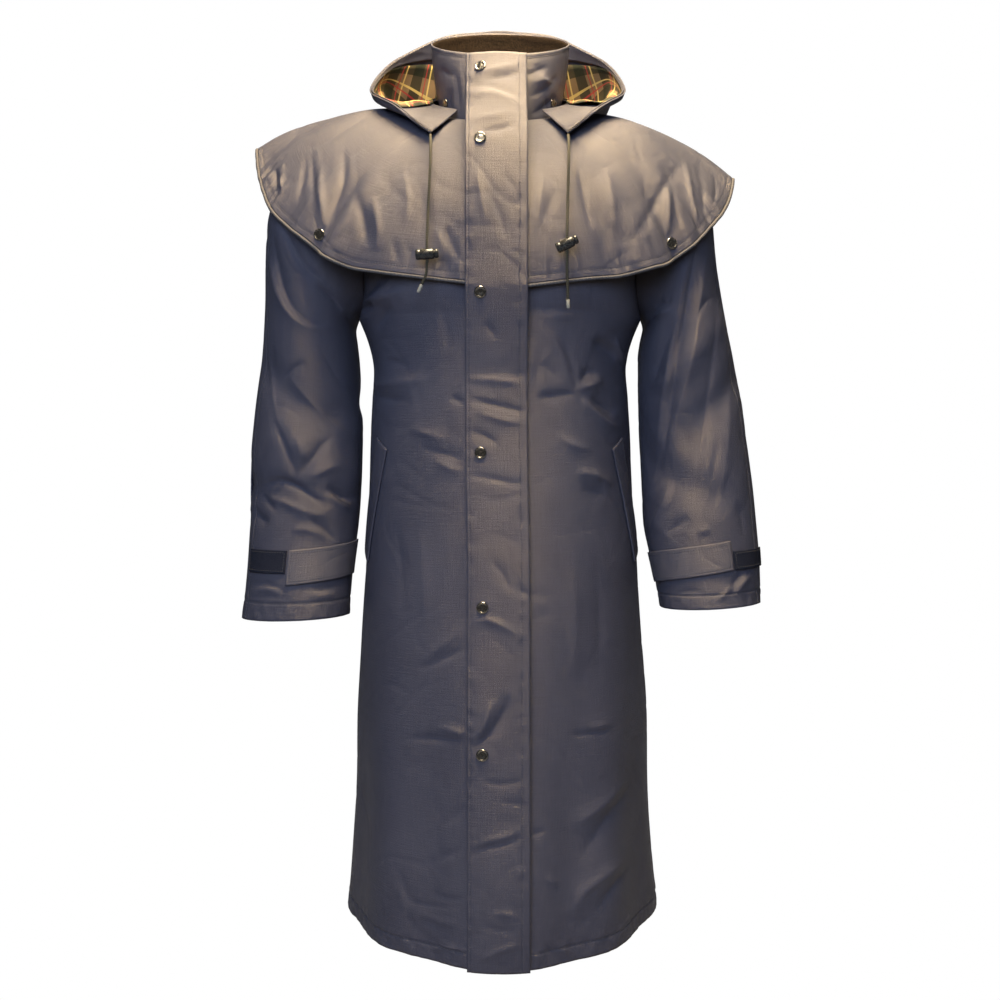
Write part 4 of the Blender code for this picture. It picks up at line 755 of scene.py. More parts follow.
def flap(x, z):
    """Storm flap at each x and height: its front line, curving back to the sides like what is under it."""
    x, z = np.broadcast_arrays(np.asarray(x, float), np.asarray(z, float))
    half_width, front, _, squareness = ring_sizes(np.clip(z, BODY_RINGS[0].z, BODY_RINGS[-1].z))
    chest = front * (1.0 - (1.0 - (np.abs(x) / half_width) ** squareness) ** (1.0 / squareness))
    top = smoothstep(FLAP_HEIGHTS[-1] - 0.088, FLAP_HEIGHTS[-1], z)
    neck_width = NECK_HALF_WIDTH + (COLLAR_HALF_WIDTH - NECK_HALF_WIDTH) * top
    neck = NECK_HALF_DEPTH * (1.0 - np.sqrt(1.0 - (x / neck_width) ** 2))
    collar_part = smoothstep(-0.075, 0.0, z)
    y = np.interp(z, FLAP_HEIGHTS, FLAP_DEPTHS) + chest * (1.0 - collar_part) + neck * collar_part
    return stack(x + lean(z), y, z)


def unit(vectors):
    """Vectors brought to length 1."""
    return vectors / np.linalg.norm(vectors, axis=-1, keepdims=True)


def distances(points):
    """Distance along a row of points, from its first to each of them."""
    return np.concatenate([[0.0], np.cumsum(np.linalg.norm(np.diff(points, axis=0), axis=1))])


def on_row(knots, values, at):
    """Straight lines between the rows of a table of vectors."""
    return np.stack([np.interp(at, knots, values[:, axis]) for axis in range(3)], axis=-1)


def out_normals(grid, inside):
    """Unit normals of a grid of points facing away from a point inside, and whether its faces turn over."""
    normals = np.cross(np.gradient(grid, axis=0), np.gradient(grid, axis=1))
    normals = normals / np.maximum(np.linalg.norm(normals, axis=-1, keepdims=True), 1e-12)
    over = np.sum(normals * (grid - np.array(inside))) < 0
    return (-normals if over else normals), over


def smooth_way(points, count):
    """Evenly spread points on a smooth curve through a few given ones."""
    points = np.array(points, float)
    reached = distances(points)
    return follow(reached, points, np.linspace(0.0, reached[-1], count))


CREASE_WIDTH = 0.0009       # metres for each unit of a crease's width
CREASE_REACH = 0.003        # metres for each unit of width, past which a crease isn't felt
RIDGE_HEIGHT = 0.0013       # metres for each unit that a ridge stands out
TROUGH_DEPTH = 0.0010       # metres for each unit that a trough goes in
CREASE_POWER = 1.1          # its cross section: 1 has a sharp crest, 2 a round one
END_SHARE = 0.03            # share of its height that is left at its ends


def crease_push(x, z, creases):
    """Sum of creases: each a bell of the distance to its way, wider on one side, fading towards its ends."""
    seen = stack(x, z, 0.0)[..., :2]
    push = np.zeros(seen.shape[:-1])
    for crease in creases:
        way = smooth_way(np.array(crease.way) / 1000.0, 16)
        reach = CREASE_REACH * max(crease.left, crease.right)
        near = np.all((seen > way.min(axis=0) - reach) & (seen < way.max(axis=0) + reach), axis=-1)
        start, step = way[:-1], np.diff(way, axis=0)
        gap = seen[near][:, None] - start
        share = np.clip(np.sum(gap * step, axis=-1) / np.sum(step * step, axis=-1), 0.0, 1.0)
        gap = gap - share[..., None] * step
        distance = np.linalg.norm(gap, axis=-1)
        rows, best = np.arange(len(distance)), distance.argmin(axis=1)
        gap, step = gap[rows, best], step[best]
        on_left = step[:, 0] * gap[:, 1] > step[:, 1] * gap[:, 0]
        width = np.where(on_left, crease.left, crease.right) * CREASE_WIDTH
        passed = (best + share[rows, best]) / len(start)
        fade = np.maximum(4.0 * passed * (1.0 - passed), END_SHARE)
        height = crease.out * (RIDGE_HEIGHT if crease.out > 0 else TROUGH_DEPTH)
        push[near] += height * fade * np.exp(-(distance[rows, best] / width) ** CREASE_POWER)
    return push


WAVE_COUNT = 14


def waves(points, length, seed):
    """Sum of sine waves about a length long in seeded directions, about 1 high."""
    rng = np.random.default_rng(seed)
    ways = rng.normal(size=(WAVE_COUNT, 3))
    ways = ways / np.linalg.norm(ways, axis=1, keepdims=True)
    ways = ways * 2.0 * math.pi / length * rng.uniform(0.6, 1.6, (WAVE_COUNT, 1))
    starts = rng.uniform(0.0, 2.0 * math.pi, WAVE_COUNT)
    return np.sin(points @ ways.T + starts).sum(axis=-1) / math.sqrt(WAVE_COUNT / 2)


Wave = namedtuple("Wave", "height length seed")
HANDLED_WAVE = Wave(0.0005, 0.150, 1)       # long soft waves of worn cloth
HEM_WAVE = Wave(0.0005, 0.018, 11)          # puckers below the sewn hem
CUFF_WAVE = Wave(0.0003, 0.020, 12)         # puckers at the cuff
PIPING_WAVE = Wave(0.0010, 0.014, 13)       # puckers just above the cape's piping
CAPE_WAVE = Wave(0.0011, 0.026, 14)         # broader ones further up
HOOD_WAVE = Wave(0.0014, 0.19, 17)          # slack of the hood
SMALL_FOLD = 0.0006                         # depth of the thin creases of worn cloth
FOLD_SEEDS = range(30, 36)


def rippled(points, wave):
    """A sum of waves with its height in metres."""
    return wave.height * waves(points, wave.length, wave.seed)


def handled(points):
    """Small unevenness of worn cloth: long soft waves, and thin creases where other waves cross nought."""
    soft = rippled(points, HANDLED_WAVE)
    folds = np.zeros(points.shape[:-1])
    for seed in FOLD_SEEDS:
        line = np.abs(waves(points, 0.130, seed))
        folds = folds - np.exp(-line / 0.16) * smoothstep(0.1, 1.3, waves(points, 0.20, seed + 10))
    return soft + SMALL_FOLD * folds


def pressed(grid, inside, push):
    """The grid moved out along its normals by a push in metres."""
    return grid + out_normals(grid, inside)[0] * np.asarray(push)[..., None]


def with_extra(values, extra):
    """Sorted grid lines with a few close ones added where a sewn line needs them."""
    return np.unique(np.round(np.concatenate([values, extra]), 6))


def groove(value, middle, half_width):
    """1 on a sewn line, falling to 0 beside it."""
    return np.exp(-((value - middle) / half_width) ** 2)


def cloth_uv(grid):
    """Metres along the cloth at each grid point: mean lengths of the columns and rows."""
    across = np.linalg.norm(np.diff(grid, axis=1), axis=-1).mean(axis=0)
    along = np.linalg.norm(np.diff(grid, axis=0), axis=-1).mean(axis=1)
    u = np.concatenate([[0.0], np.cumsum(across)])
    v = np.concatenate([[0.0], np.cumsum(along)])
    return np.stack(np.meshgrid(u, v), axis=-1)


def plain_object(name, points, faces):
    """A smooth mesh object in the coat's frame."""
    mesh = bpy.data.meshes.new(name)
    mesh.from_pydata(points, [], faces)
    mesh.shade_smooth()
    made = bpy.data.objects.new(name, mesh)
    bpy.context.scene.collection.objects.link(made)
    return made


def piece_of(name, points, faces, uvs, finish):
    """A piece of the coat with its map and finish, riding with it."""
    piece = plain_object(name, points, faces)
    layer = piece.data.uv_layers.new(name="cloth")
    layer.data.foreach_set("uv", np.asarray(uvs, np.float32).ravel())
    piece.data.materials.append(finish)
    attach(piece, "root")
    return piece


def cloth(node, grid, inside, thickness, finish):
    """A cloth piece standing for a node: the grid is its outer face, thickened inwards."""
    rows, columns = grid.shape[:2]
    index = np.arange(rows * columns).reshape(rows, columns)
    quads = np.stack([index[:-1, :-1], index[1:, :-1], index[1:, 1:], index[:-1, 1:]], axis=-1)
    quads = quads.reshape(-1, 4)
    if out_normals(grid, inside)[1]:
        quads = quads[:, ::-1]
    uvs = cloth_uv(grid).reshape(-1, 2)[quads]
    piece = piece_of(f"{node}_cloth", grid.reshape(-1, 3), quads.tolist(), uvs, finish)
    wall = piece.modifiers.new("wall", "SOLIDIFY")
    wall.thickness = thickness
    wall.offset = -1.0
    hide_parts(node)
    side_a, side_b = grid[1:, :-1] - grid[:-1, :-1], grid[:-1, 1:] - grid[:-1, :-1]
    return piece


def ring_faces(rings):
    """Faces of a closed round piece from rings of points, facing out, with an end face at each end."""
    count, sides = rings.shape[:2]
    index = np.arange(count * sides).reshape(count, sides)
    after = np.roll(index, -1, axis=1)
    quads = np.stack([index[:-1], index[1:], after[1:], after[:-1]], axis=-1).reshape(-1, 4)
    faces = quads.tolist() + [index[0].tolist(), index[-1, ::-1].tolist()]
    spokes = rings[:-1] - rings[:-1].mean(axis=1, keepdims=True)
    normals = np.cross(rings[1:] - rings[:-1], np.roll(rings[:-1], -1, axis=1) - rings[:-1])
    if np.sum(normals * spokes) < 0:
        faces = [face[::-1] for face in faces]
    return faces


def ringed(name, rings, finish, length=1.0):
    """A closed round piece from rings of points; its map runs once round it and along it in metres."""
    count, sides = rings.shape[:2]
    faces = ring_faces(rings)
    loops = np.concatenate([np.array(faces[:-2]).ravel(), faces[-2], faces[-1]])
    column, row = loops % sides, loops // sides
    around = column / sides
    quads = around[:-2 * sides].reshape(-1, 4)
    quads[(quads.max(axis=1) - quads.min(axis=1) > 0.5)[:, None] & (quads < 0.5)] += 1.0
    uvs = np.stack([around, row * length / (count - 1)], axis=-1)
    return piece_of(name, rings.reshape(-1, 3), faces, uvs, finish)


def tube_rings(points, towards, radius, sides):
    """Rings round a path: each stands square to it, its first point lying towards a given way."""
    along = unit(np.gradient(points, axis=0))
    first = unit(towards - np.sum(towards * along, axis=-1, keepdims=True) * along)
    second = np.cross(along, first)
    angle = np.arange(sides) * 2.0 * math.pi / sides
    spoke = first[:, None] * np.cos(angle)[:, None] + second[:, None] * np.sin(angle)[:, None]
    return points[:, None] + spoke * np.asarray(radius)[..., None, None]


def turned_rings(profile, seat, axis, sides):
    """Rings of a turned piece: its half section (radius, height) swept round an axis at a seat."""
    axis = unit(np.asarray(axis, float))
    helper = np.array([0.0, 1.0, 0.0]) if abs(axis[1]) < 0.8 else np.array([0.0, 0.0, 1.0])
    first = unit(np.cross(axis, helper))
    second = np.cross(axis, first)
    radius, height = np.array(profile).T
    angle = np.arange(sides) * 2.0 * math.pi / sides
    spoke = first * np.cos(angle)[:, None] + second * np.sin(angle)[:, None]
    return np.asarray(seat) + height[:, None, None] * axis + radius[:, None, None] * spoke


def read_grid(values, row, column):
    """Values of a grid at fractional rows and columns, from the four nearest points."""
    row = np.clip(np.asarray(row, float), 0.0, values.shape[0] - 1.001)
    column = np.clip(np.asarray(column, float), 0.0, values.shape[1] - 1.001)
    i, j = row.astype(int), column.astype(int)
    a, b = (row - i)[..., None], (column - j)[..., None]
    near = values[i, j] * (1 - b) + values[i, j + 1] * b
    return near * (1 - a) + (values[i + 1, j] * (1 - b) + values[i + 1, j + 1] * b) * a


# A stitch, as a small lens: along, across and up at its two ends and two rings of three.
STITCH_SHAPE = np.array([(-0.5, 0.0, 0.1), (-0.25, -0.5, 0.0), (-0.25, 0.0, 0.6), (-0.25, 0.5, 0.0),
                         (0.25, -0.5, 0.0), (0.25, 0.0, 0.6), (0.25, 0.5, 0.0), (0.5, 0.0, 0.1)])
STITCH_QUADS = np.array([(1, 4, 5, 2), (2, 5, 6, 3), (3, 6, 4, 1)])
STITCH_ENDS = np.array([(0, 1, 2), (0, 2, 3), (0, 3, 1), (7, 5, 4), (7, 6, 5), (7, 4, 6)])
STITCH_PITCH = 0.0036
STITCH_LENGTH = 0.0028
STITCH_WIDTH = 0.0007


def stitch_rows(name, rows):
    """Sewing: along each row (points, normals) one small lens of thread a pitch."""
    lenses = []
    for points, normals in rows:
        reached = distances(points)
        at = np.arange(STITCH_PITCH / 2, reached[-1], STITCH_PITCH)
        ahead = unit(on_row(reached, points, at + 0.001) - on_row(reached, points, at - 0.001))
        up = on_row(reached, normals, at)
        up = unit(up - np.sum(up * ahead, axis=-1, keepdims=True) * ahead)
        across = np.cross(up, ahead)
        axes = np.stack([ahead * STITCH_LENGTH, across * STITCH_WIDTH, up * STITCH_WIDTH], axis=1)
        lenses.append(on_row(reached, points, at)[:, None] + STITCH_SHAPE @ axes)
    lenses = np.concatenate(lenses)
    first = len(STITCH_SHAPE) * np.arange(len(lenses))[:, None, None]
    faces = (STITCH_QUADS + first).reshape(-1, 4).tolist() + (STITCH_ENDS + first).reshape(-1, 3).tolist()
    uvs = np.zeros((len(lenses) * (STITCH_QUADS.size + STITCH_ENDS.size), 2))
    return piece_of(name, lenses.reshape(-1, 3), faces, uvs, THREAD)


def row_on(grid, normals, row, column):
    """A sewn row on a finished grid: points and normals at fractional rows and columns."""
    row, column = np.broadcast_arrays(np.asarray(row, float), np.asarray(column, float))
    return read_grid(grid, row, column), read_grid(normals, row, column)


def rgb(red, green, blue):
    """A colour for a shader's socket."""
    return (red, green, blue, 1.0)


class Value:
    """A number in a finish: a socket on which Python's sums add Math nodes."""

    def __init__(self, finish, socket):
        self.finish = finish
        self.socket = socket

    def __add__(self, other):
        return self.finish.maths("ADD", self, other)

    def __sub__(self, other):
        return self.finish.maths("SUBTRACT", self, other)

    def __rsub__(self, other):
        return self.finish.maths("SUBTRACT", other, self)

    def __mul__(self, other):
        return self.finish.maths("MULTIPLY", self, other)

    def __lt__(self, other):
        return self.finish.maths("LESS_THAN", self, other)

    __radd__ = __add__
    __rmul__ = __mul__


class Finish:
    """A material on its Principled shader; constants are set on the shader's own sockets."""

    def __init__(self, name, constants):
        self.material = bpy.data.materials.new(name)
        self.material.use_nodes = True
        self.tree = self.material.node_tree
        self.shader = self.tree.nodes["Principled BSDF"]
        for socket, value in constants.items():
            self.shader.inputs[socket].default_value = value

    def node(self, kind, settings, sockets, output=0):
        """Adds a node: its settings first, then the values or links of its sockets; gives one output."""
        made = self.tree.nodes.new(kind)
        for name, value in settings.items():
            setattr(made, name, value)
        for name, value in sockets.items():
            if isinstance(value, Value):
                self.tree.links.new(value.socket, made.inputs[name])
            else:
                made.inputs[name].default_value = value
        return Value(self, made.outputs[output])

    def maths(self, operation, first, second=0.0):
        """A Math node on one or two numbers."""
        return self.node("ShaderNodeMath", {"operation": operation}, {0: first, 1: second})

    def feed(self, socket, value):
        """Links a value to one of the shader's sockets."""
        self.tree.links.new(value.socket, self.shader.inputs[socket])

    def mix(self, share, first, second):
        """Colour between two others: the first at a share of 0, the second at 1."""
        return self.node("ShaderNodeMix", {"data_type": "RGBA"}, {0: share, 6: first, 7: second}, 2)

    def places(self):
        """Object coordinates in metres."""
        return self.node("ShaderNodeTexCoord", {}, {}, "Object")

    def map_lines(self):
        """The piece's own map: metres across and along the cloth."""
        flat = self.node("ShaderNodeUVMap", {"uv_map": "cloth"}, {})
        return [self.node("ShaderNodeSeparateXYZ", {}, {0: flat}, axis) for axis in (0, 1)]

    def stretched(self, u, v, scale):
        """Map coordinates with each axis scaled, as a vector."""
        return self.node("ShaderNodeCombineXYZ", {}, {0: u * scale[0], 1: v * scale[1]})

    def noise(self, where, scale, detail=2.0):
        """Smooth noise between about 0.25 and 0.75, in cells of 1 / scale."""
        return self.node("ShaderNodeTexNoise", {}, {"Vector": where, "Scale": scale, "Detail": detail})

    def between(self, value, low, high, to_low, to_high):
        """Value carried from one range to another, held at its ends."""
        sockets = {0: value, 1: low, 2: high, 3: to_low, 4: to_high}
        return self.node("ShaderNodeMapRange", {}, sockets)

    def bump(self, height, distance, strength=1.0):
        """Fine relief of a height from 0 to 1, a distance in metres deep."""
        sockets = {"Height": height, "Distance": distance, "Strength": strength}
        self.feed("Normal", self.node("ShaderNodeBump", {}, sockets))


def shell_finish(name, dark, warm, roughness, weave):
    """Close-woven shell cloth: faint warm mottling, uneven gloss, a fine weave with slubs."""
    finish = Finish(name, {"Specular IOR Level": 0.9, "Specular Tint": rgb(1.0, 0.80, 0.52)})
    u, v = finish.map_lines()
    places = finish.places()
    mottling = finish.noise(places, 9.0, 4.0)
    slubs = finish.noise(finish.stretched(u, v, (520.0, 34.0)), 1.0, 3.0)
    picks = finish.noise(finish.stretched(u, v, (38.0, 560.0)), 1.0, 3.0)
    thread = slubs * 0.5 + picks * 0.5
    shade = finish.between(mottling * 0.4 + thread * 0.6, 0.35, 0.65, 0.0, 1.0)
    finish.feed("Base Color", finish.mix(shade, dark, warm))
    gloss = finish.between(finish.noise(places, 26.0, 3.0), 0.25, 0.75, -0.05, 0.05)
    finish.feed("Roughness", gloss + thread * 0.24 + (roughness - 0.12))
    turn = 2.0 * math.pi / weave
    over_under = finish.maths("SINE", u * turn) * finish.maths("SINE", v * turn)
    finish.bump(over_under * 0.25 + thread * 1.2, 0.0005)
    return finish.material


TWILL = 0.0016          # between two ribs of the lining's twill


def plaid_finish(repeat):
    """Woven check: camel ground, a dark bar in each repeat both ways, thin yellow and red lines between."""
    finish = Finish("plaid_lining", {"Roughness": 0.86, "Specular IOR Level": 0.25})

    def bar(line, middle, width):
        """1 within half a width of the bar's middle in each repeat, 0 outside."""
        return finish.maths("PINGPONG", line + (repeat - middle), repeat / 2) < width / 2

    u, v = finish.map_lines()
    wool = finish.noise(finish.places(), 60.0, 3.0)
    colour = finish.mix(wool, rgb(0.10, 0.068, 0.042), rgb(0.17, 0.118, 0.072))
    for middle, width, strength, stain in ((0.0, 0.025, 0.80, rgb(0.010, 0.014, 0.011)),
                                           (repeat * 0.50, 0.0030, 0.85, rgb(0.40, 0.31, 0.12)),
                                           (repeat * 0.34, 0.0024, 0.80, rgb(0.24, 0.022, 0.03))):
        for line in (u, v):
            colour = finish.mix(bar(line, middle, width) * strength, colour, stain)
    finish.feed("Base Color", colour)
    twill = finish.maths("SINE", (u + v) * (2.0 * math.pi / TWILL))
    finish.bump(twill, 0.0003, 0.6)
    return finish.material


def pile_finish(name, dark, light, scale, depth):
    """Short pile: clumps of light and dark, rough all over."""
    finish = Finish(name, {"Roughness": 0.95, "Specular IOR Level": 0.05})
    clumps = finish.noise(finish.places(), scale, 4.0)
    finish.feed("Base Color", finish.mix(finish.between(clumps, 0.3, 0.7, 0.0, 1.0), dark, light))
    finish.bump(clumps, depth)
    return finish.material


def cord_finish(name, dark, light, strands, pitch):
    """Braid or twist: two sets of strands crossing round the cord, with painted shade that darkens the
    hollows between them.
    """
    finish = Finish(name, {"Roughness": 0.7, "Specular IOR Level": 0.35})
    u, v = finish.map_lines()
    around = u * (2.0 * math.pi * strands)
    along = v * (2.0 * math.pi / pitch)
    crossing = finish.maths("SINE", around + along) * finish.maths("SINE", around - along)
    braid = finish.between(crossing, -1.0, 1.0, 0.0, 1.0)
    fuzz = finish.noise(finish.places(), 1500.0, 2.0)
    # painted shade: the braid pattern that gives the bump also darkens the colour in the hollows between
    # strands
    finish.feed("Base Color", finish.mix(braid * 0.7 + fuzz * 0.3, dark, light))
    finish.bump(braid + fuzz * 0.3, 0.0004)
    return finish.material


def hard_finish(name, colour, worn, metallic, roughness):
    """Metal or plastic: smooth, with faint handling marks in its colour and gloss."""
    finish = Finish(name, {"Metallic": metallic})
    marks = finish.noise(finish.places(), 420.0, 3.0)
    finish.feed("Base Color", finish.mix(finish.between(marks, 0.45, 0.75, 0.0, 1.0), colour, worn))
    finish.feed("Roughness", finish.between(marks, 0.3, 0.8, roughness * 0.7, roughness * 1.5))
    finish.bump(marks, 0.00004)
    return finish.material


WEAVE = 0.0012          # between two threads of the shell cloth
SHELL = shell_finish("shell_cloth", rgb(0.022, 0.025, 0.046), rgb(0.040, 0.042, 0.067), 0.43, WEAVE)
TAB_SHELL = shell_finish("cuff_tab_cloth", rgb(0.036, 0.037, 0.058), rgb(0.054, 0.054, 0.076), 0.5, WEAVE)
PLAID = plaid_finish(0.058)
COLLAR_PILE = pile_finish("collar_lining", rgb(0.004, 0.003, 0.0025), rgb(0.013, 0.009, 0.007), 420.0, 0.0006)
LOOP_PILE = pile_finish("hook_patch", rgb(0.005, 0.006, 0.011), rgb(0.017, 0.018, 0.028), 900.0, 0.0008)
# in these three cords the darker colour is painted shade, laid into the hollows between strands
PIPING = cord_finish("piping", rgb(0.026, 0.025, 0.032), rgb(0.060, 0.057, 0.066), 5.0, 0.006)
CORD = cord_finish("drawcord", rgb(0.010, 0.010, 0.009), rgb(0.046, 0.042, 0.033), 6.0, 0.0042)
THREAD = cord_finish("thread", rgb(0.020, 0.020, 0.026), rgb(0.060, 0.058, 0.066), 2.0, 0.001)
NICKEL = hard_finish("snap_metal", rgb(0.36, 0.34, 0.31), rgb(0.24, 0.22, 0.19), 1.0, 0.24)
LOCK = hard_finish("cord_lock", rgb(0.010, 0.010, 0.011), rgb(0.028, 0.027, 0.026), 0.0, 0.20)
TIP = hard_finish("cord_tip", rgb(0.17, 0.165, 0.155), rgb(0.11, 0.105, 0.10), 0.0, 0.45)


COAT_MIDDLE = (0.0, 0.0, -0.5)
CAPE_MIDDLE = (0.0, 0.0, -0.32)
COLLAR_MIDDLE = (0.0, NECK_MID_Y, 0.04)
ABOVE_HOOD = (0.0, 0.05, 0.20)
BEHIND_FLAP = (0.0, 0.3, -0.5)
ARM_MIDDLES = {side: (0.255 * sign, 0.0, -0.36) for side, sign in SIDES.items()}
CENTRE_EDGE = 0.003     # a front's first column, next to the centre line
SIDE_EDGE = 0.9993      # a body panel's last column, next to the side seam
TOP_EDGE = 1.9982       # its last row, next to the shoulder seam
HEM_ROW = 0.018 / (BODY_RINGS[-1].z - BODY_RINGS[0].z)      # sewn line above the hem, as a share of the skirt
HEM_GROOVE = 0.0024     # half width of that line
CUFF_ROW = 1.0 - 0.020 / SLEEVE_LENGTH                      # sewn line above the cuff's edge
OVERARM_SEAM = 30.0     # turn of the seam along each sleeve
CAPE_ROW = 0.972        # sewn line above the cape's piping
COLLAR_ROW = 0.93       # sewn line below the collar's top edge
FLAP_ROWS = (FLAP_RIGHT_X + 0.0035, FLAP_LEFT_X - 0.0100)   # sewn lines along the flap's edges
SEWN_IN = 0.0008        # how far a sewn line pulls the shell cloth in
FRONT_COLUMNS = 80
BACK_COLUMNS = 45       # in each half
SLEEVE_GRIDS = {"front": (0.25, 179.75, 96, 210),           # first and last turn, columns and rows
                "back": (180.25, 359.75, 44, 150)}
COLLAR_COLUMNS = 160
FLAP_LINES = 380
FLAP_COLUMNS = 34
CAPE_GRIDS = {"front": (CAPE_RAYS["right"][0].turn, 89.95, 170),    # first and last turn, columns
              "back": (90.05, 180.0, 70)}
CAPE_LINES = np.concatenate([np.linspace(0.0, 0.90, 58), np.linspace(0.90, 1.0, 26)[1:]])
HOOD_COLUMNS = 100
HOOD_LINES = 72
HOOD_EASE = 5           # columns either side of the middle over which its halves are eased together
LINING_COLUMNS = 76
LINING_TURN = 74.5      # the hood's front corners are bare of lining up to here
LINING_LOOSE = 0.0022   # how far the lining's folds fall in
CASING_LINES = 14
WELT_INSET = 0.004      # from each small piece's edge to its sewn rows
TAB_INSET = 0.0045
PATCH_INSET = 0.003


def line_of(lines, value):
    """Place of a value among grid lines, as a fractional row or column."""
    return np.interp(value, lines, np.arange(len(lines)))


def sewn(lines, middle, half_width):
    """Grid lines with close ones added about a sewn line."""
    return with_extra(lines, middle + half_width * np.array([-2.0, -1.0, -0.5, 0.0, 0.5, 1.0, 2.0]))


def moved_out(grid, inside, distance):
    """The grid moved out along its normals by one distance."""
    return pressed(grid, inside, np.full(grid.shape[:2], distance))


def flap_push(points):
    """How far the storm flap stands out at each point for its creases."""
    return crease_push(points[..., 0], points[..., 2], CREASES["flap"]) + handled(points)


def under_flap(push, points):
    """A push that goes no further out than the storm flap where it lies on top."""
    x = points[..., 0] - lean(points[..., 2])
    under = smoothstep(FLAP_RIGHT_X - 0.008, FLAP_RIGHT_X - 0.001, x)
    under = under * smoothstep(FLAP_LEFT_X + 0.008, FLAP_LEFT_X + 0.001, x)
    return push * (1.0 - under) + under * np.minimum(np.minimum(push, flap_push(points)), 0.0)


def off_seams(around, along):
    """0 on a body panel's side and shoulder seams, 1 a little away from them."""
    return smoothstep(SIDE_EDGE, 0.970, around) * smoothstep(TOP_EDGE, 1.93, along)


def front_cloth(around, along, side):
    """A front's outer face: the panel with its creases, hem seam and handling, held under the flap."""
    flat = leaning(mirrored(body(around, along, "front", FRONT_DRAPES[side]), side))
    push = crease_push(flat[..., 0], flat[..., 2], CREASES[f"front_{side}"]) + handled(flat)
    push = push - SEWN_IN * groove(along, HEM_ROW, HEM_GROOVE)
    push = push + rippled(flat, HEM_WAVE) * groove(along, HEM_ROW * 0.6, HEM_ROW)
    return pressed(flat, COAT_MIDDLE, under_flap(push, flat) * off_seams(around, along))


def back_cloth(around, along):
    """The back's outer face, both halves: the panel with its creases, hem seam and handling."""
    half = body(np.abs(around), along, "back", BACK_DRAPES)
    flat = leaning(half * np.stack([np.sign(around), np.ones_like(around), np.ones_like(around)], axis=-1))
    push = crease_push(flat[..., 0], flat[..., 2], CREASES["back"]) * 1.4 + handled(flat)
    push = push - SEWN_IN * groove(along, HEM_ROW, HEM_GROOVE)
    return pressed(flat, COAT_MIDDLE, push * off_seams(np.abs(around), along))


def sleeve_cloth(turn, down, side):
    """A sleeve's outer face: creases full in front and softer behind, with overarm seam and cuff seam."""
    flat = sleeve(turn, down, side)
    behind = smoothstep(185.0, 215.0, turn) * smoothstep(355.0, 325.0, turn)
    push = crease_push(flat[..., 0], flat[..., 2], CREASES[f"sleeve_{side}"]) * (1.0 - 0.25 * behind)
    push = push + handled(flat)
    push = push - 0.0012 * groove(turn, OVERARM_SEAM, 0.55) * smoothstep(0.05, 0.12, down)
    push = push - SEWN_IN * groove(down, CUFF_ROW, 0.0028)
    push = push + rippled(flat, CUFF_WAVE) * groove(down, 0.985, 0.02)
    return pressed(flat, ARM_MIDDLES[side], push * smoothstep(0.0, 0.05, down))


def cape_cloth(turn, down, side):
    """A side of the cape: its own creases in front, others behind, and puckers above the piped hem."""
    flat = cape(turn, down, side)
    x, z = flat[..., 0], flat[..., 2]
    push = crease_push(x, z, CREASES[f"cape_{side}"]) * smoothstep(122.0, 92.0, turn)
    push = push + crease_push(x, z, CREASES["cape_back"]) * smoothstep(92.0, 118.0, turn)
    edge = cape(turn, np.ones_like(down), side)
    puckers = rippled(edge, PIPING_WAVE) * smoothstep(0.88, 0.96, down) * smoothstep(1.02, 0.96, down)
    puckers = puckers + rippled(edge, CAPE_WAVE) * smoothstep(0.78, 0.96, down)
    puckers = puckers * smoothstep(-1.0, 1.0, waves(edge, 0.12, 16))
    push = push + handled(flat) + puckers - 0.0003 * groove(down, CAPE_ROW, 0.006)
    return pressed(flat, CAPE_MIDDLE, under_flap(push * smoothstep(0.0, 0.07, down), flat))


def collar_cloth(turn, up):
    """The stand collar's outer face, creased in front, with a sewn line below its top edge."""
    flat = collar(turn, up)
    push = crease_push(flat[..., 0], flat[..., 2], CREASES["collar"]) * smoothstep(0.05, 0.0, flat[..., 1])
    push = push + handled(flat) - 0.0006 * groove(up, COLLAR_ROW, 0.025)
    return pressed(flat, COLLAR_MIDDLE, under_flap(push, flat))


def eased(grid, reach):
    """The grid with its middle columns averaged over a reach either way, so its two halves meet smoothly."""
    padded = np.pad(grid, ((0, 0), (reach, reach), (0, 0)), mode="edge")
    count = grid.shape[1]
    mean = np.mean([padded[:, shift:shift + count] for shift in range(2 * reach + 1)], axis=0)
    share = groove(np.arange(count), (count - 1) / 2, reach)[None, :, None]
    return grid * (1.0 - share) + mean * share


def hood_cloth(turn, share, depth, loose):
    """The open hood, a depth inside its shell; loose cloth folds further in, away from its edges."""
    right, left = hood(turn, share, "right"), hood(turn, share, "left")
    flat = eased(np.concatenate([right, left[:, -2::-1]], axis=1), HOOD_EASE)
    shares = np.concatenate([share, share[:, -2::-1]], axis=1)
    folds = np.maximum(waves(flat, 0.075, 15) + 0.6, 0.0)
    folds = folds * smoothstep(0.05, 0.3, shares) * smoothstep(0.94, 0.78, shares)
    push = handled(flat) + rippled(flat, HOOD_WAVE) * smoothstep(0.99, 0.80, shares) - loose * folds
    push = push - 0.0007 * groove(shares, 1.0 - CASING_SHARE, 0.012)
    return pressed(moved_out(flat, ABOVE_HOOD, -depth), ABOVE_HOOD, push * smoothstep(0.0, 0.08, shares))


def corner_grid(corners, rows, columns):
    """Two parameter grids spread between four corners: start of first row, its end, last row's two."""
    down, across = np.meshgrid(np.linspace(0.0, 1.0, rows), np.linspace(0.0, 1.0, columns), indexing="ij")
    first, first_end, last, last_end = (np.array(corner) for corner in corners)
    down, across = down[..., None], across[..., None]
    spread = (first * (1 - across) + first_end * across) * (1 - down)
    spread = spread + (last * (1 - across) + last_end * across) * down
    return spread[..., 0], spread[..., 1]


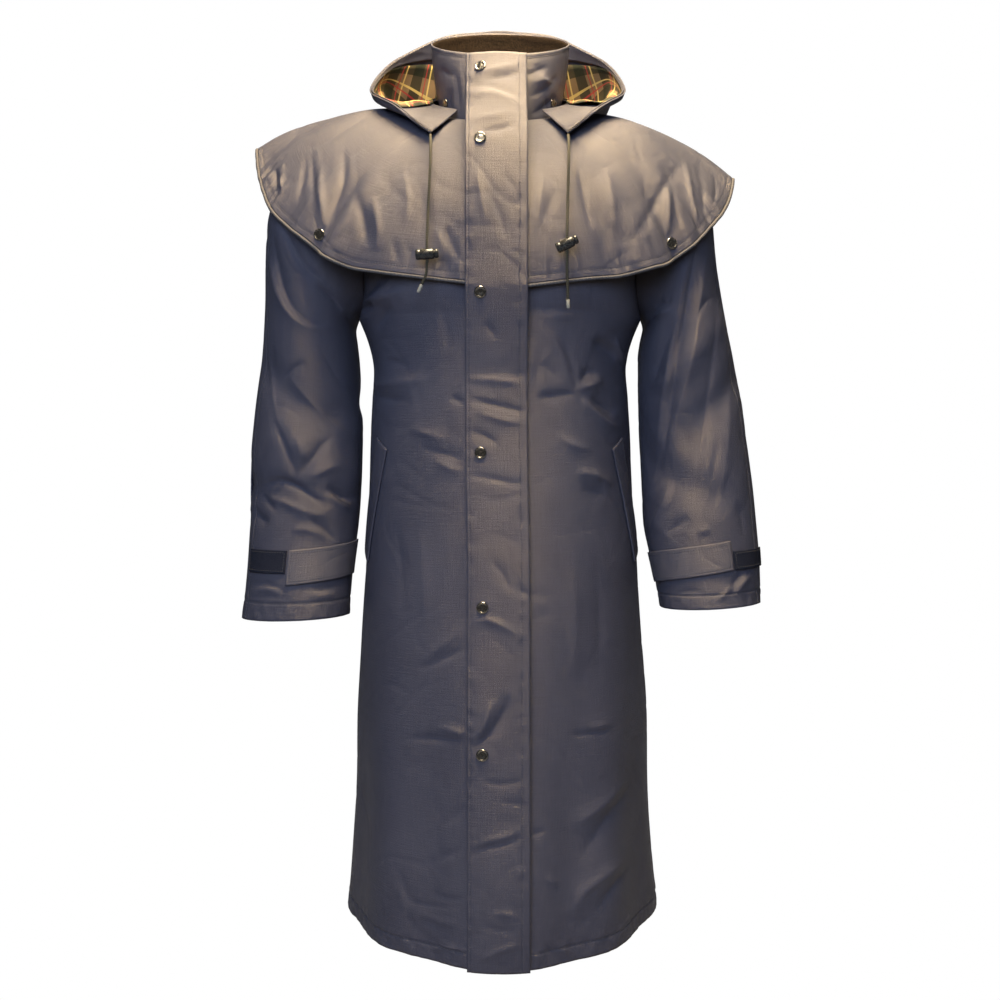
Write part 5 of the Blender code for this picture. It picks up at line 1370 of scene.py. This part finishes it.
def border_rows(grid, normals, inset):
    """Sewn rows round a lying piece, an inset in metres from its four edges."""
    rows, columns = grid.shape[:2]
    high = np.linalg.norm(np.diff(grid[:, columns // 2], axis=0), axis=-1).sum()
    wide = np.linalg.norm(np.diff(grid[rows // 2], axis=0), axis=-1).sum()
    r, c = inset / high * (rows - 1), inset / wide * (columns - 1)
    down, across = np.linspace(r, rows - 1 - r, 40), np.linspace(c, columns - 1 - c, 80)
    return [row_on(grid, normals, r, across), row_on(grid, normals, rows - 1 - r, across),
            row_on(grid, normals, down, c), row_on(grid, normals, down, columns - 1 - c)]


def sew_on(node, grid, inside, thickness, finish, inset):
    """A small piece lying on a panel, a little above it, with sewn rows round its border."""
    lying = moved_out(grid, inside, thickness + EASE)
    cloth(node, lying, inside, thickness, finish)
    stitch_rows(f"{node}_stitches", border_rows(lying, out_normals(lying, inside)[0], inset))


def panel_lines(below, above):
    """Lines along a body panel, so many below and above the underarm, with close ones at the sewn hem."""
    lower = sewn(np.linspace(0.0, 1.0, below), HEM_ROW, HEM_GROOVE)
    return np.concatenate([lower, np.linspace(1.0, TOP_EDGE, above)[1:]])


def make_body():
    """Fronts, back and pocket welts, with a sewn hem."""
    along = panel_lines(260, 80)
    hem = []
    for side in SIDES:
        around = np.linspace(CENTRE_EDGE, SIDE_EDGE, FRONT_COLUMNS)
        grid = front_cloth(*np.meshgrid(around, along), side)
        cloth(f"front_{side}", grid, COAT_MIDDLE, CLOTH, SHELL)
        normals = out_normals(grid, COAT_MIDDLE)[0]
        columns = np.linspace(0.0, FRONT_COLUMNS - 1.0, 300)
        hem.append(row_on(grid, normals, line_of(along, HEM_ROW), columns))
        welt = front_cloth(*corner_grid(WELT_CORNERS, 60, 24), side)
        sew_on(f"pocket_welt_{side}", welt, COAT_MIDDLE, DOUBLE, SHELL, WELT_INSET)
    half = np.linspace(0.0, SIDE_EDGE, BACK_COLUMNS)
    around = np.concatenate([-half[:0:-1], half])
    along = panel_lines(180, 60)
    grid = back_cloth(*np.meshgrid(around, along))
    cloth("back", grid, COAT_MIDDLE, CLOTH, SHELL)
    normals = out_normals(grid, COAT_MIDDLE)[0]
    columns = np.linspace(0.0, len(around) - 1.0, 500)
    hem.append(row_on(grid, normals, line_of(along, HEM_ROW), columns))
    stitch_rows("hem_stitches", hem)


def make_sleeves():
    """Each sleeve's two halves, cuff tab and patch, with its overarm seam and cuff sewn."""
    for side, middle in ARM_MIDDLES.items():
        rows = []
        for face, (first, last, columns, lines) in SLEEVE_GRIDS.items():
            turn = np.linspace(first, last, columns)
            down = sewn(np.linspace(0.0, 1.0, lines), CUFF_ROW, 0.003)
            if face == "front":
                turn = sewn(turn, OVERARM_SEAM, 0.6)
            grid = sleeve_cloth(*np.meshgrid(turn, down), side)
            cloth(f"sleeve_{face}_{side}", grid, middle, CLOTH, SHELL)
            normals = out_normals(grid, middle)[0]
            across = np.linspace(0.0, len(turn) - 1.0, 200)
            rows.append(row_on(grid, normals, line_of(down, CUFF_ROW), across))
            if face == "front":
                seam = np.linspace(line_of(down, 0.10), len(down) - 1.0, 300)
                rows.append(row_on(grid, normals, seam, line_of(turn, OVERARM_SEAM + 1.1)))
        stitch_rows(f"sleeve_stitches_{side}", rows)
        tab = sleeve_cloth(*corner_grid(TAB_CORNERS[side], 26, 70), side)
        sew_on(f"cuff_tab_{side}", tab, middle, DOUBLE, TAB_SHELL, TAB_INSET)
        patch = sleeve_cloth(*corner_grid(PATCH_CORNERS[side], 24, 50), side)
        sew_on(f"cuff_patch_{side}", patch, middle, PATCH_THICKNESS, LOOP_PILE, PATCH_INSET)


def add_piping(node, grid):
    """Piping along a cape piece's hem: a round cord just below its edge, as far in as the cloth's middle."""
    edge = grid[-1]
    fall = unit(edge - grid[-3])
    out = out_normals(grid, CAPE_MIDDLE)[0][-1]
    line = edge + fall * (PIPING_RADIUS + SEAM) - out * CLOTH / 2
    length = distances(line)[-1]
    keep = np.linspace(PIPING_TRIM / length, 1.0 - PIPING_TRIM / length, len(line)) * (len(line) - 1)
    index = np.arange(len(line))
    rings = tube_rings(on_row(index, line, keep), on_row(index, out, keep), PIPING_RADIUS, sides=10)
    piece = ringed(f"{node}_cord", rings, PIPING, length)
    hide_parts(node)


def make_cape():
    """Cape fronts and back with piped and sewn hems."""
    pieces = {}
    for side in SIDES:
        turn = np.linspace(*CAPE_GRIDS["front"])
        pieces[f"front_{side}"] = cape_cloth(*np.meshgrid(turn, CAPE_LINES), side)
    half = np.meshgrid(np.linspace(*CAPE_GRIDS["back"]), CAPE_LINES)
    right, left = cape_cloth(*half, "right"), cape_cloth(*half, "left")
    pieces["back"] = np.concatenate([right, left[:, -2::-1]], axis=1)
    sewing = []
    for name, grid in pieces.items():
        cloth(f"cape_{name}", grid, CAPE_MIDDLE, CLOTH, SHELL)
        add_piping(f"cape_piping_{name}", grid)
        normals = out_normals(grid, CAPE_MIDDLE)[0]
        columns = np.linspace(0.0, grid.shape[1] - 1.0, 400)
        sewing.append(row_on(grid, normals, line_of(CAPE_LINES, CAPE_ROW), columns))
    stitch_rows("cape_stitches", sewing)


def make_collar():
    """Stand collar, its pile lining and a sewn top edge."""
    turn = np.linspace(COLLAR_OPEN, 360.0 - COLLAR_OPEN, COLLAR_COLUMNS)
    up = np.linspace(0.0, 1.0, 40)
    grid = collar_cloth(*np.meshgrid(turn, up))
    cloth("collar", grid, COLLAR_MIDDLE, CLOTH, SHELL)
    normals = out_normals(grid, COLLAR_MIDDLE)[0]
    columns = np.linspace(0.0, COLLAR_COLUMNS - 1.0, 500)
    stitch_rows("collar_stitches", [row_on(grid, normals, line_of(up, COLLAR_ROW), columns)])
    lining = moved_out(grid, COLLAR_MIDDLE, -CLOTH - SEAM)[1:-1]
    cloth("collar_lining", lining, COLLAR_MIDDLE, LINING, COLLAR_PILE)


def make_hood():
    """Hood shell, plaid lining and drawcord casing."""
    turn = np.linspace(HOOD_RAYS[0].turn, 180.0, HOOD_COLUMNS)
    seam = 1.0 - CASING_SHARE
    inner = CLOTH + HOOD_LAYER_GAP
    shell = hood_cloth(*np.meshgrid(turn, np.linspace(0.0, 1.0, HOOD_LINES)), 0.0, 0.0)
    cloth("hood", shell, ABOVE_HOOD, CLOTH, SHELL)
    lined = np.linspace(LINING_TURN, 180.0, LINING_COLUMNS)
    lining = hood_cloth(*np.meshgrid(lined, np.linspace(0.0, seam - 0.01, HOOD_LINES)), inner, LINING_LOOSE)
    cloth("hood_lining", lining, ABOVE_HOOD, LINING, PLAID)
    casing = hood_cloth(*np.meshgrid(turn, np.linspace(seam, 1.0, CASING_LINES)), inner, 0.0)
    cloth("hood_casing", casing, ABOVE_HOOD, LINING, SHELL)


def make_flap():
    """Storm flap with puckered sewing along both edges; gives its grid lines, points and normals."""
    across = np.linspace(FLAP_RIGHT_X, FLAP_LEFT_X, FLAP_COLUMNS)
    for row in FLAP_ROWS:
        across = sewn(across, row, 0.0007)
    heights = np.linspace(FLAP_HEIGHTS[0], FLAP_HEIGHTS[-1], FLAP_LINES)
    x, z = np.meshgrid(across, heights)
    flat = flap(x, z)
    push = flap_push(flat)
    for number, row in enumerate(FLAP_ROWS):
        puckers = waves(stack(0.0, 0.0, z), 0.017, 20 + number) * groove(x, row, 0.005)
        push = push + 0.0003 * puckers - 0.0003 * groove(x, row, 0.0010)
    grid = pressed(flat, BEHIND_FLAP, push)
    cloth("storm_flap", grid, BEHIND_FLAP, DOUBLE, SHELL)
    normals = out_normals(grid, BEHIND_FLAP)[0]
    lines = np.linspace(1.0, FLAP_LINES - 2.0, 900)
    stitch_rows("flap_stitches", [row_on(grid, normals, lines, line_of(across, row)) for row in FLAP_ROWS])
    return across, heights, grid, normals




def add_snap(node, seat, normal, scale):
    """A snap cap on the cloth at a seat, facing along the normal."""
    profile = np.array(CAP_PROFILE) * scale
    piece = ringed(f"{node}_cap", turned_rings(profile, seat, normal, sides=48), NICKEL)
    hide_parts(node)


def seat_on(surface, turn, share, inside):
    """A point on a surface, and the mean normal of the small patch of cloth about it."""
    patch = np.meshgrid(turn + np.linspace(-1.0, 1.0, 9), share + np.linspace(-0.02, 0.02, 9))
    near = surface(*patch)
    return near[4, 4], out_normals(near, inside)[0].mean(axis=(0, 1))


def make_snaps(across, heights, grid, normals):
    """Six snaps down the flap, one on each cape front, and two that hold the hood."""
    for number, height in enumerate(SNAP_HEIGHTS, start=1):
        seat, out = row_on(grid, normals, line_of(heights, height), line_of(across, SNAP_X))
        add_snap(f"snap_flap_{number}", seat + out * FLAP_SNAP_GAP, out, 1.0)
    hood_turn, hood_up = HOOD_SNAPS
    for side, sign in SIDES.items():
        seat, out = seat_on(partial(cape_cloth, side=side), *CAPE_SNAPS[side], CAPE_MIDDLE)
        add_snap(f"snap_cape_{side}", seat + out * CAPE_SNAP_GAP, out, 1.0)
        seat, out = seat_on(collar_cloth, hood_turn * sign, hood_up, COLLAR_MIDDLE)
        add_snap(f"snap_hood_{side}", seat + out * EASE, out, HOOD_SNAP_SCALE)




def bored_lock(side):
    """A barrel lock lying across its cord, bored for it."""
    tilt = math.radians(90.0 - LOCK_TILTS[side])
    axis = (math.sin(tilt), 0.0, math.cos(tilt))
    rings = turned_rings(BARREL_PROFILE, LOCK_CENTRES[side], axis, sides=40)
    lock = ringed(f"cord_lock_{side}_barrel", rings, LOCK)
    through = [(BORE_RADIUS, -0.02), (BORE_RADIUS, 0.02)]
    rings = turned_rings(through, LOCK_CENTRES[side], (0, 0, 1), sides=24)
    bore = plain_object(f"bore_{side}", rings.reshape(-1, 3), ring_faces(rings))
    cut = lock.modifiers.new("bore", "BOOLEAN")
    cut.solver = "EXACT"
    cut.object = bore
    shaped = lock.evaluated_get(bpy.context.evaluated_depsgraph_get())
    mesh = bpy.data.meshes.new_from_object(shaped)
    lock.modifiers.clear()
    lock.data = mesh
    bpy.data.objects.remove(bore)
    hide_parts(f"cord_lock_{side}")
    return lock


def make_drawcords():
    """Each drawcord's free end, hanging from the hood's corner through its lock to its tip."""
    for side in SIDES:
        points = np.array(CORD_ROUTES[side])
        route = smooth_way(points, int(round(distances(points)[-1] / CORD_STEP)) + 1)
        fine = smooth_way(points, CORD_RINGS)
        length = distances(fine)[-1]
        rings = tube_rings(fine, np.array([1.0, 0.0, 0.0]), CORD_RADIUS, sides=14)
        cord = ringed(f"drawcord_{side}_braid", rings, CORD, length)
        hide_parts(f"drawcord_{side}")
        away = unit(route[-1] - route[-2])
        seat = route[-1] + away * SEAM
        rings = turned_rings(TIP_PROFILE, seat, away, sides=28)
        tip = ringed(f"cord_tip_{side}_end", rings, TIP)
        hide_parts(f"cord_tip_{side}")
        bored_lock(side)


CAMERA_PLACE = (0.0, -1.85, -0.42)
CAMERA_DOWN = 2.885     # degrees
LENS = 50.0             # mm


def make_camera():
    """Camera in front of the coat at waist height, looking a little down."""
    view = bpy.data.cameras.new("camera")
    view.lens = LENS
    camera = bpy.data.objects.new("camera", view)
    camera.location = CAMERA_PLACE
    camera.rotation_euler = (math.radians(90.0 - CAMERA_DOWN), 0.0, 0.0)
    bpy.context.scene.collection.objects.link(camera)
    bpy.context.scene.camera = camera


# Soft panels of light: each at a place, facing a point, lighting all, or gloss or colour alone.
Panel = namedtuple("Panel", "name place towards size watts colour lights")
PANELS = [
    Panel("overhead", (0.05, -0.30, 1.00), (0.05, -0.1, -0.2), (0.5, 1.0), 62.0, (1.0, 0.83, 0.56), "gloss"),
    Panel("ceiling", (0.05, -0.20, 0.70), (0.05, -0.1, -0.2), (0.5, 0.4), 92.0, (1.0, 0.74, 0.36), "colour"),
    Panel("front", (-0.5, -2.9, 0.8), (0.0, 0.0, -0.7), (2.2, 2.0), 155.0, (0.78, 0.90, 1.0), "colour"),
    Panel("window", (-0.4, -3.0, 1.9), (0.0, 0.0, -0.3), (1.0, 1.4), 6.0, (1.0, 0.95, 0.88), "all"),
    Panel("behind", (0.6, 2.9, 1.2), (0.0, 0.0, -0.6), (2.2, 2.0), 190.0, (0.84, 0.92, 1.0), "colour"),
]
FLOOR = -1.40
FLOOR_HALF = 6.0
AROUND_LIGHT = 0.06     # strength of the white surroundings as light; the camera sees them at 1


def add_light(panel):
    """One panel of light."""
    lamp = bpy.data.lights.new(panel.name, "AREA")
    lamp.shape = "RECTANGLE"
    lamp.size, lamp.size_y = panel.size
    lamp.energy = panel.watts
    lamp.color = panel.colour
    light = bpy.data.objects.new(panel.name, lamp)
    light.location = panel.place
    facing = Vector(panel.towards) - Vector(panel.place)
    light.rotation_euler = facing.to_track_quat("-Z", "Y").to_euler()
    light.visible_glossy = panel.lights != "colour"
    light.visible_diffuse = panel.lights != "gloss"
    bpy.context.scene.collection.objects.link(light)


def make_studio():
    """Pale floor, white surroundings and soft light: warm from above, cooler and weaker from the front."""
    scene = bpy.context.scene
    scene.view_settings.view_transform = "Standard"
    world = bpy.data.worlds.new("studio")
    scene.world = world
    world.use_nodes = True
    tree = world.node_tree
    seen = tree.nodes.new("ShaderNodeLightPath").outputs["Is Camera Ray"]
    glow = tree.nodes.new("ShaderNodeMapRange")
    tree.links.new(seen, glow.inputs["Value"])
    glow.inputs["To Min"].default_value = AROUND_LIGHT
    background = tree.nodes["Background"]
    background.inputs["Color"].default_value = rgb(1.0, 1.0, 1.0)
    tree.links.new(glow.outputs["Result"], background.inputs["Strength"])
    ways = ((-1, -1), (1, -1), (1, 1), (-1, 1))
    corners = [(FLOOR_HALF * x, FLOOR_HALF * y, FLOOR) for x, y in ways]
    floor = plain_object("floor", corners, [(0, 1, 2, 3)])
    pale = Finish("pale_floor", {"Base Color": rgb(0.14, 0.14, 0.15), "Roughness": 0.9})
    shown = pale.node("ShaderNodeLightPath", {}, {}, "Is Camera Ray")
    white = pale.node("ShaderNodeEmission", {}, {"Color": rgb(1.0, 1.0, 1.0), "Strength": 1.0})
    both = pale.node("ShaderNodeMixShader", {}, {0: shown, 1: Value(pale, pale.shader.outputs[0]), 2: white})
    pale.tree.links.new(both.socket, pale.tree.nodes["Material Output"].inputs["Surface"])
    floor.data.materials.append(pale.material)
    for panel in PANELS:
        add_light(panel)


make_camera()
make_drawcords()
make_body()
make_sleeves()
make_cape()
make_collar()
make_hood()
make_snaps(*make_flap())
make_studio()
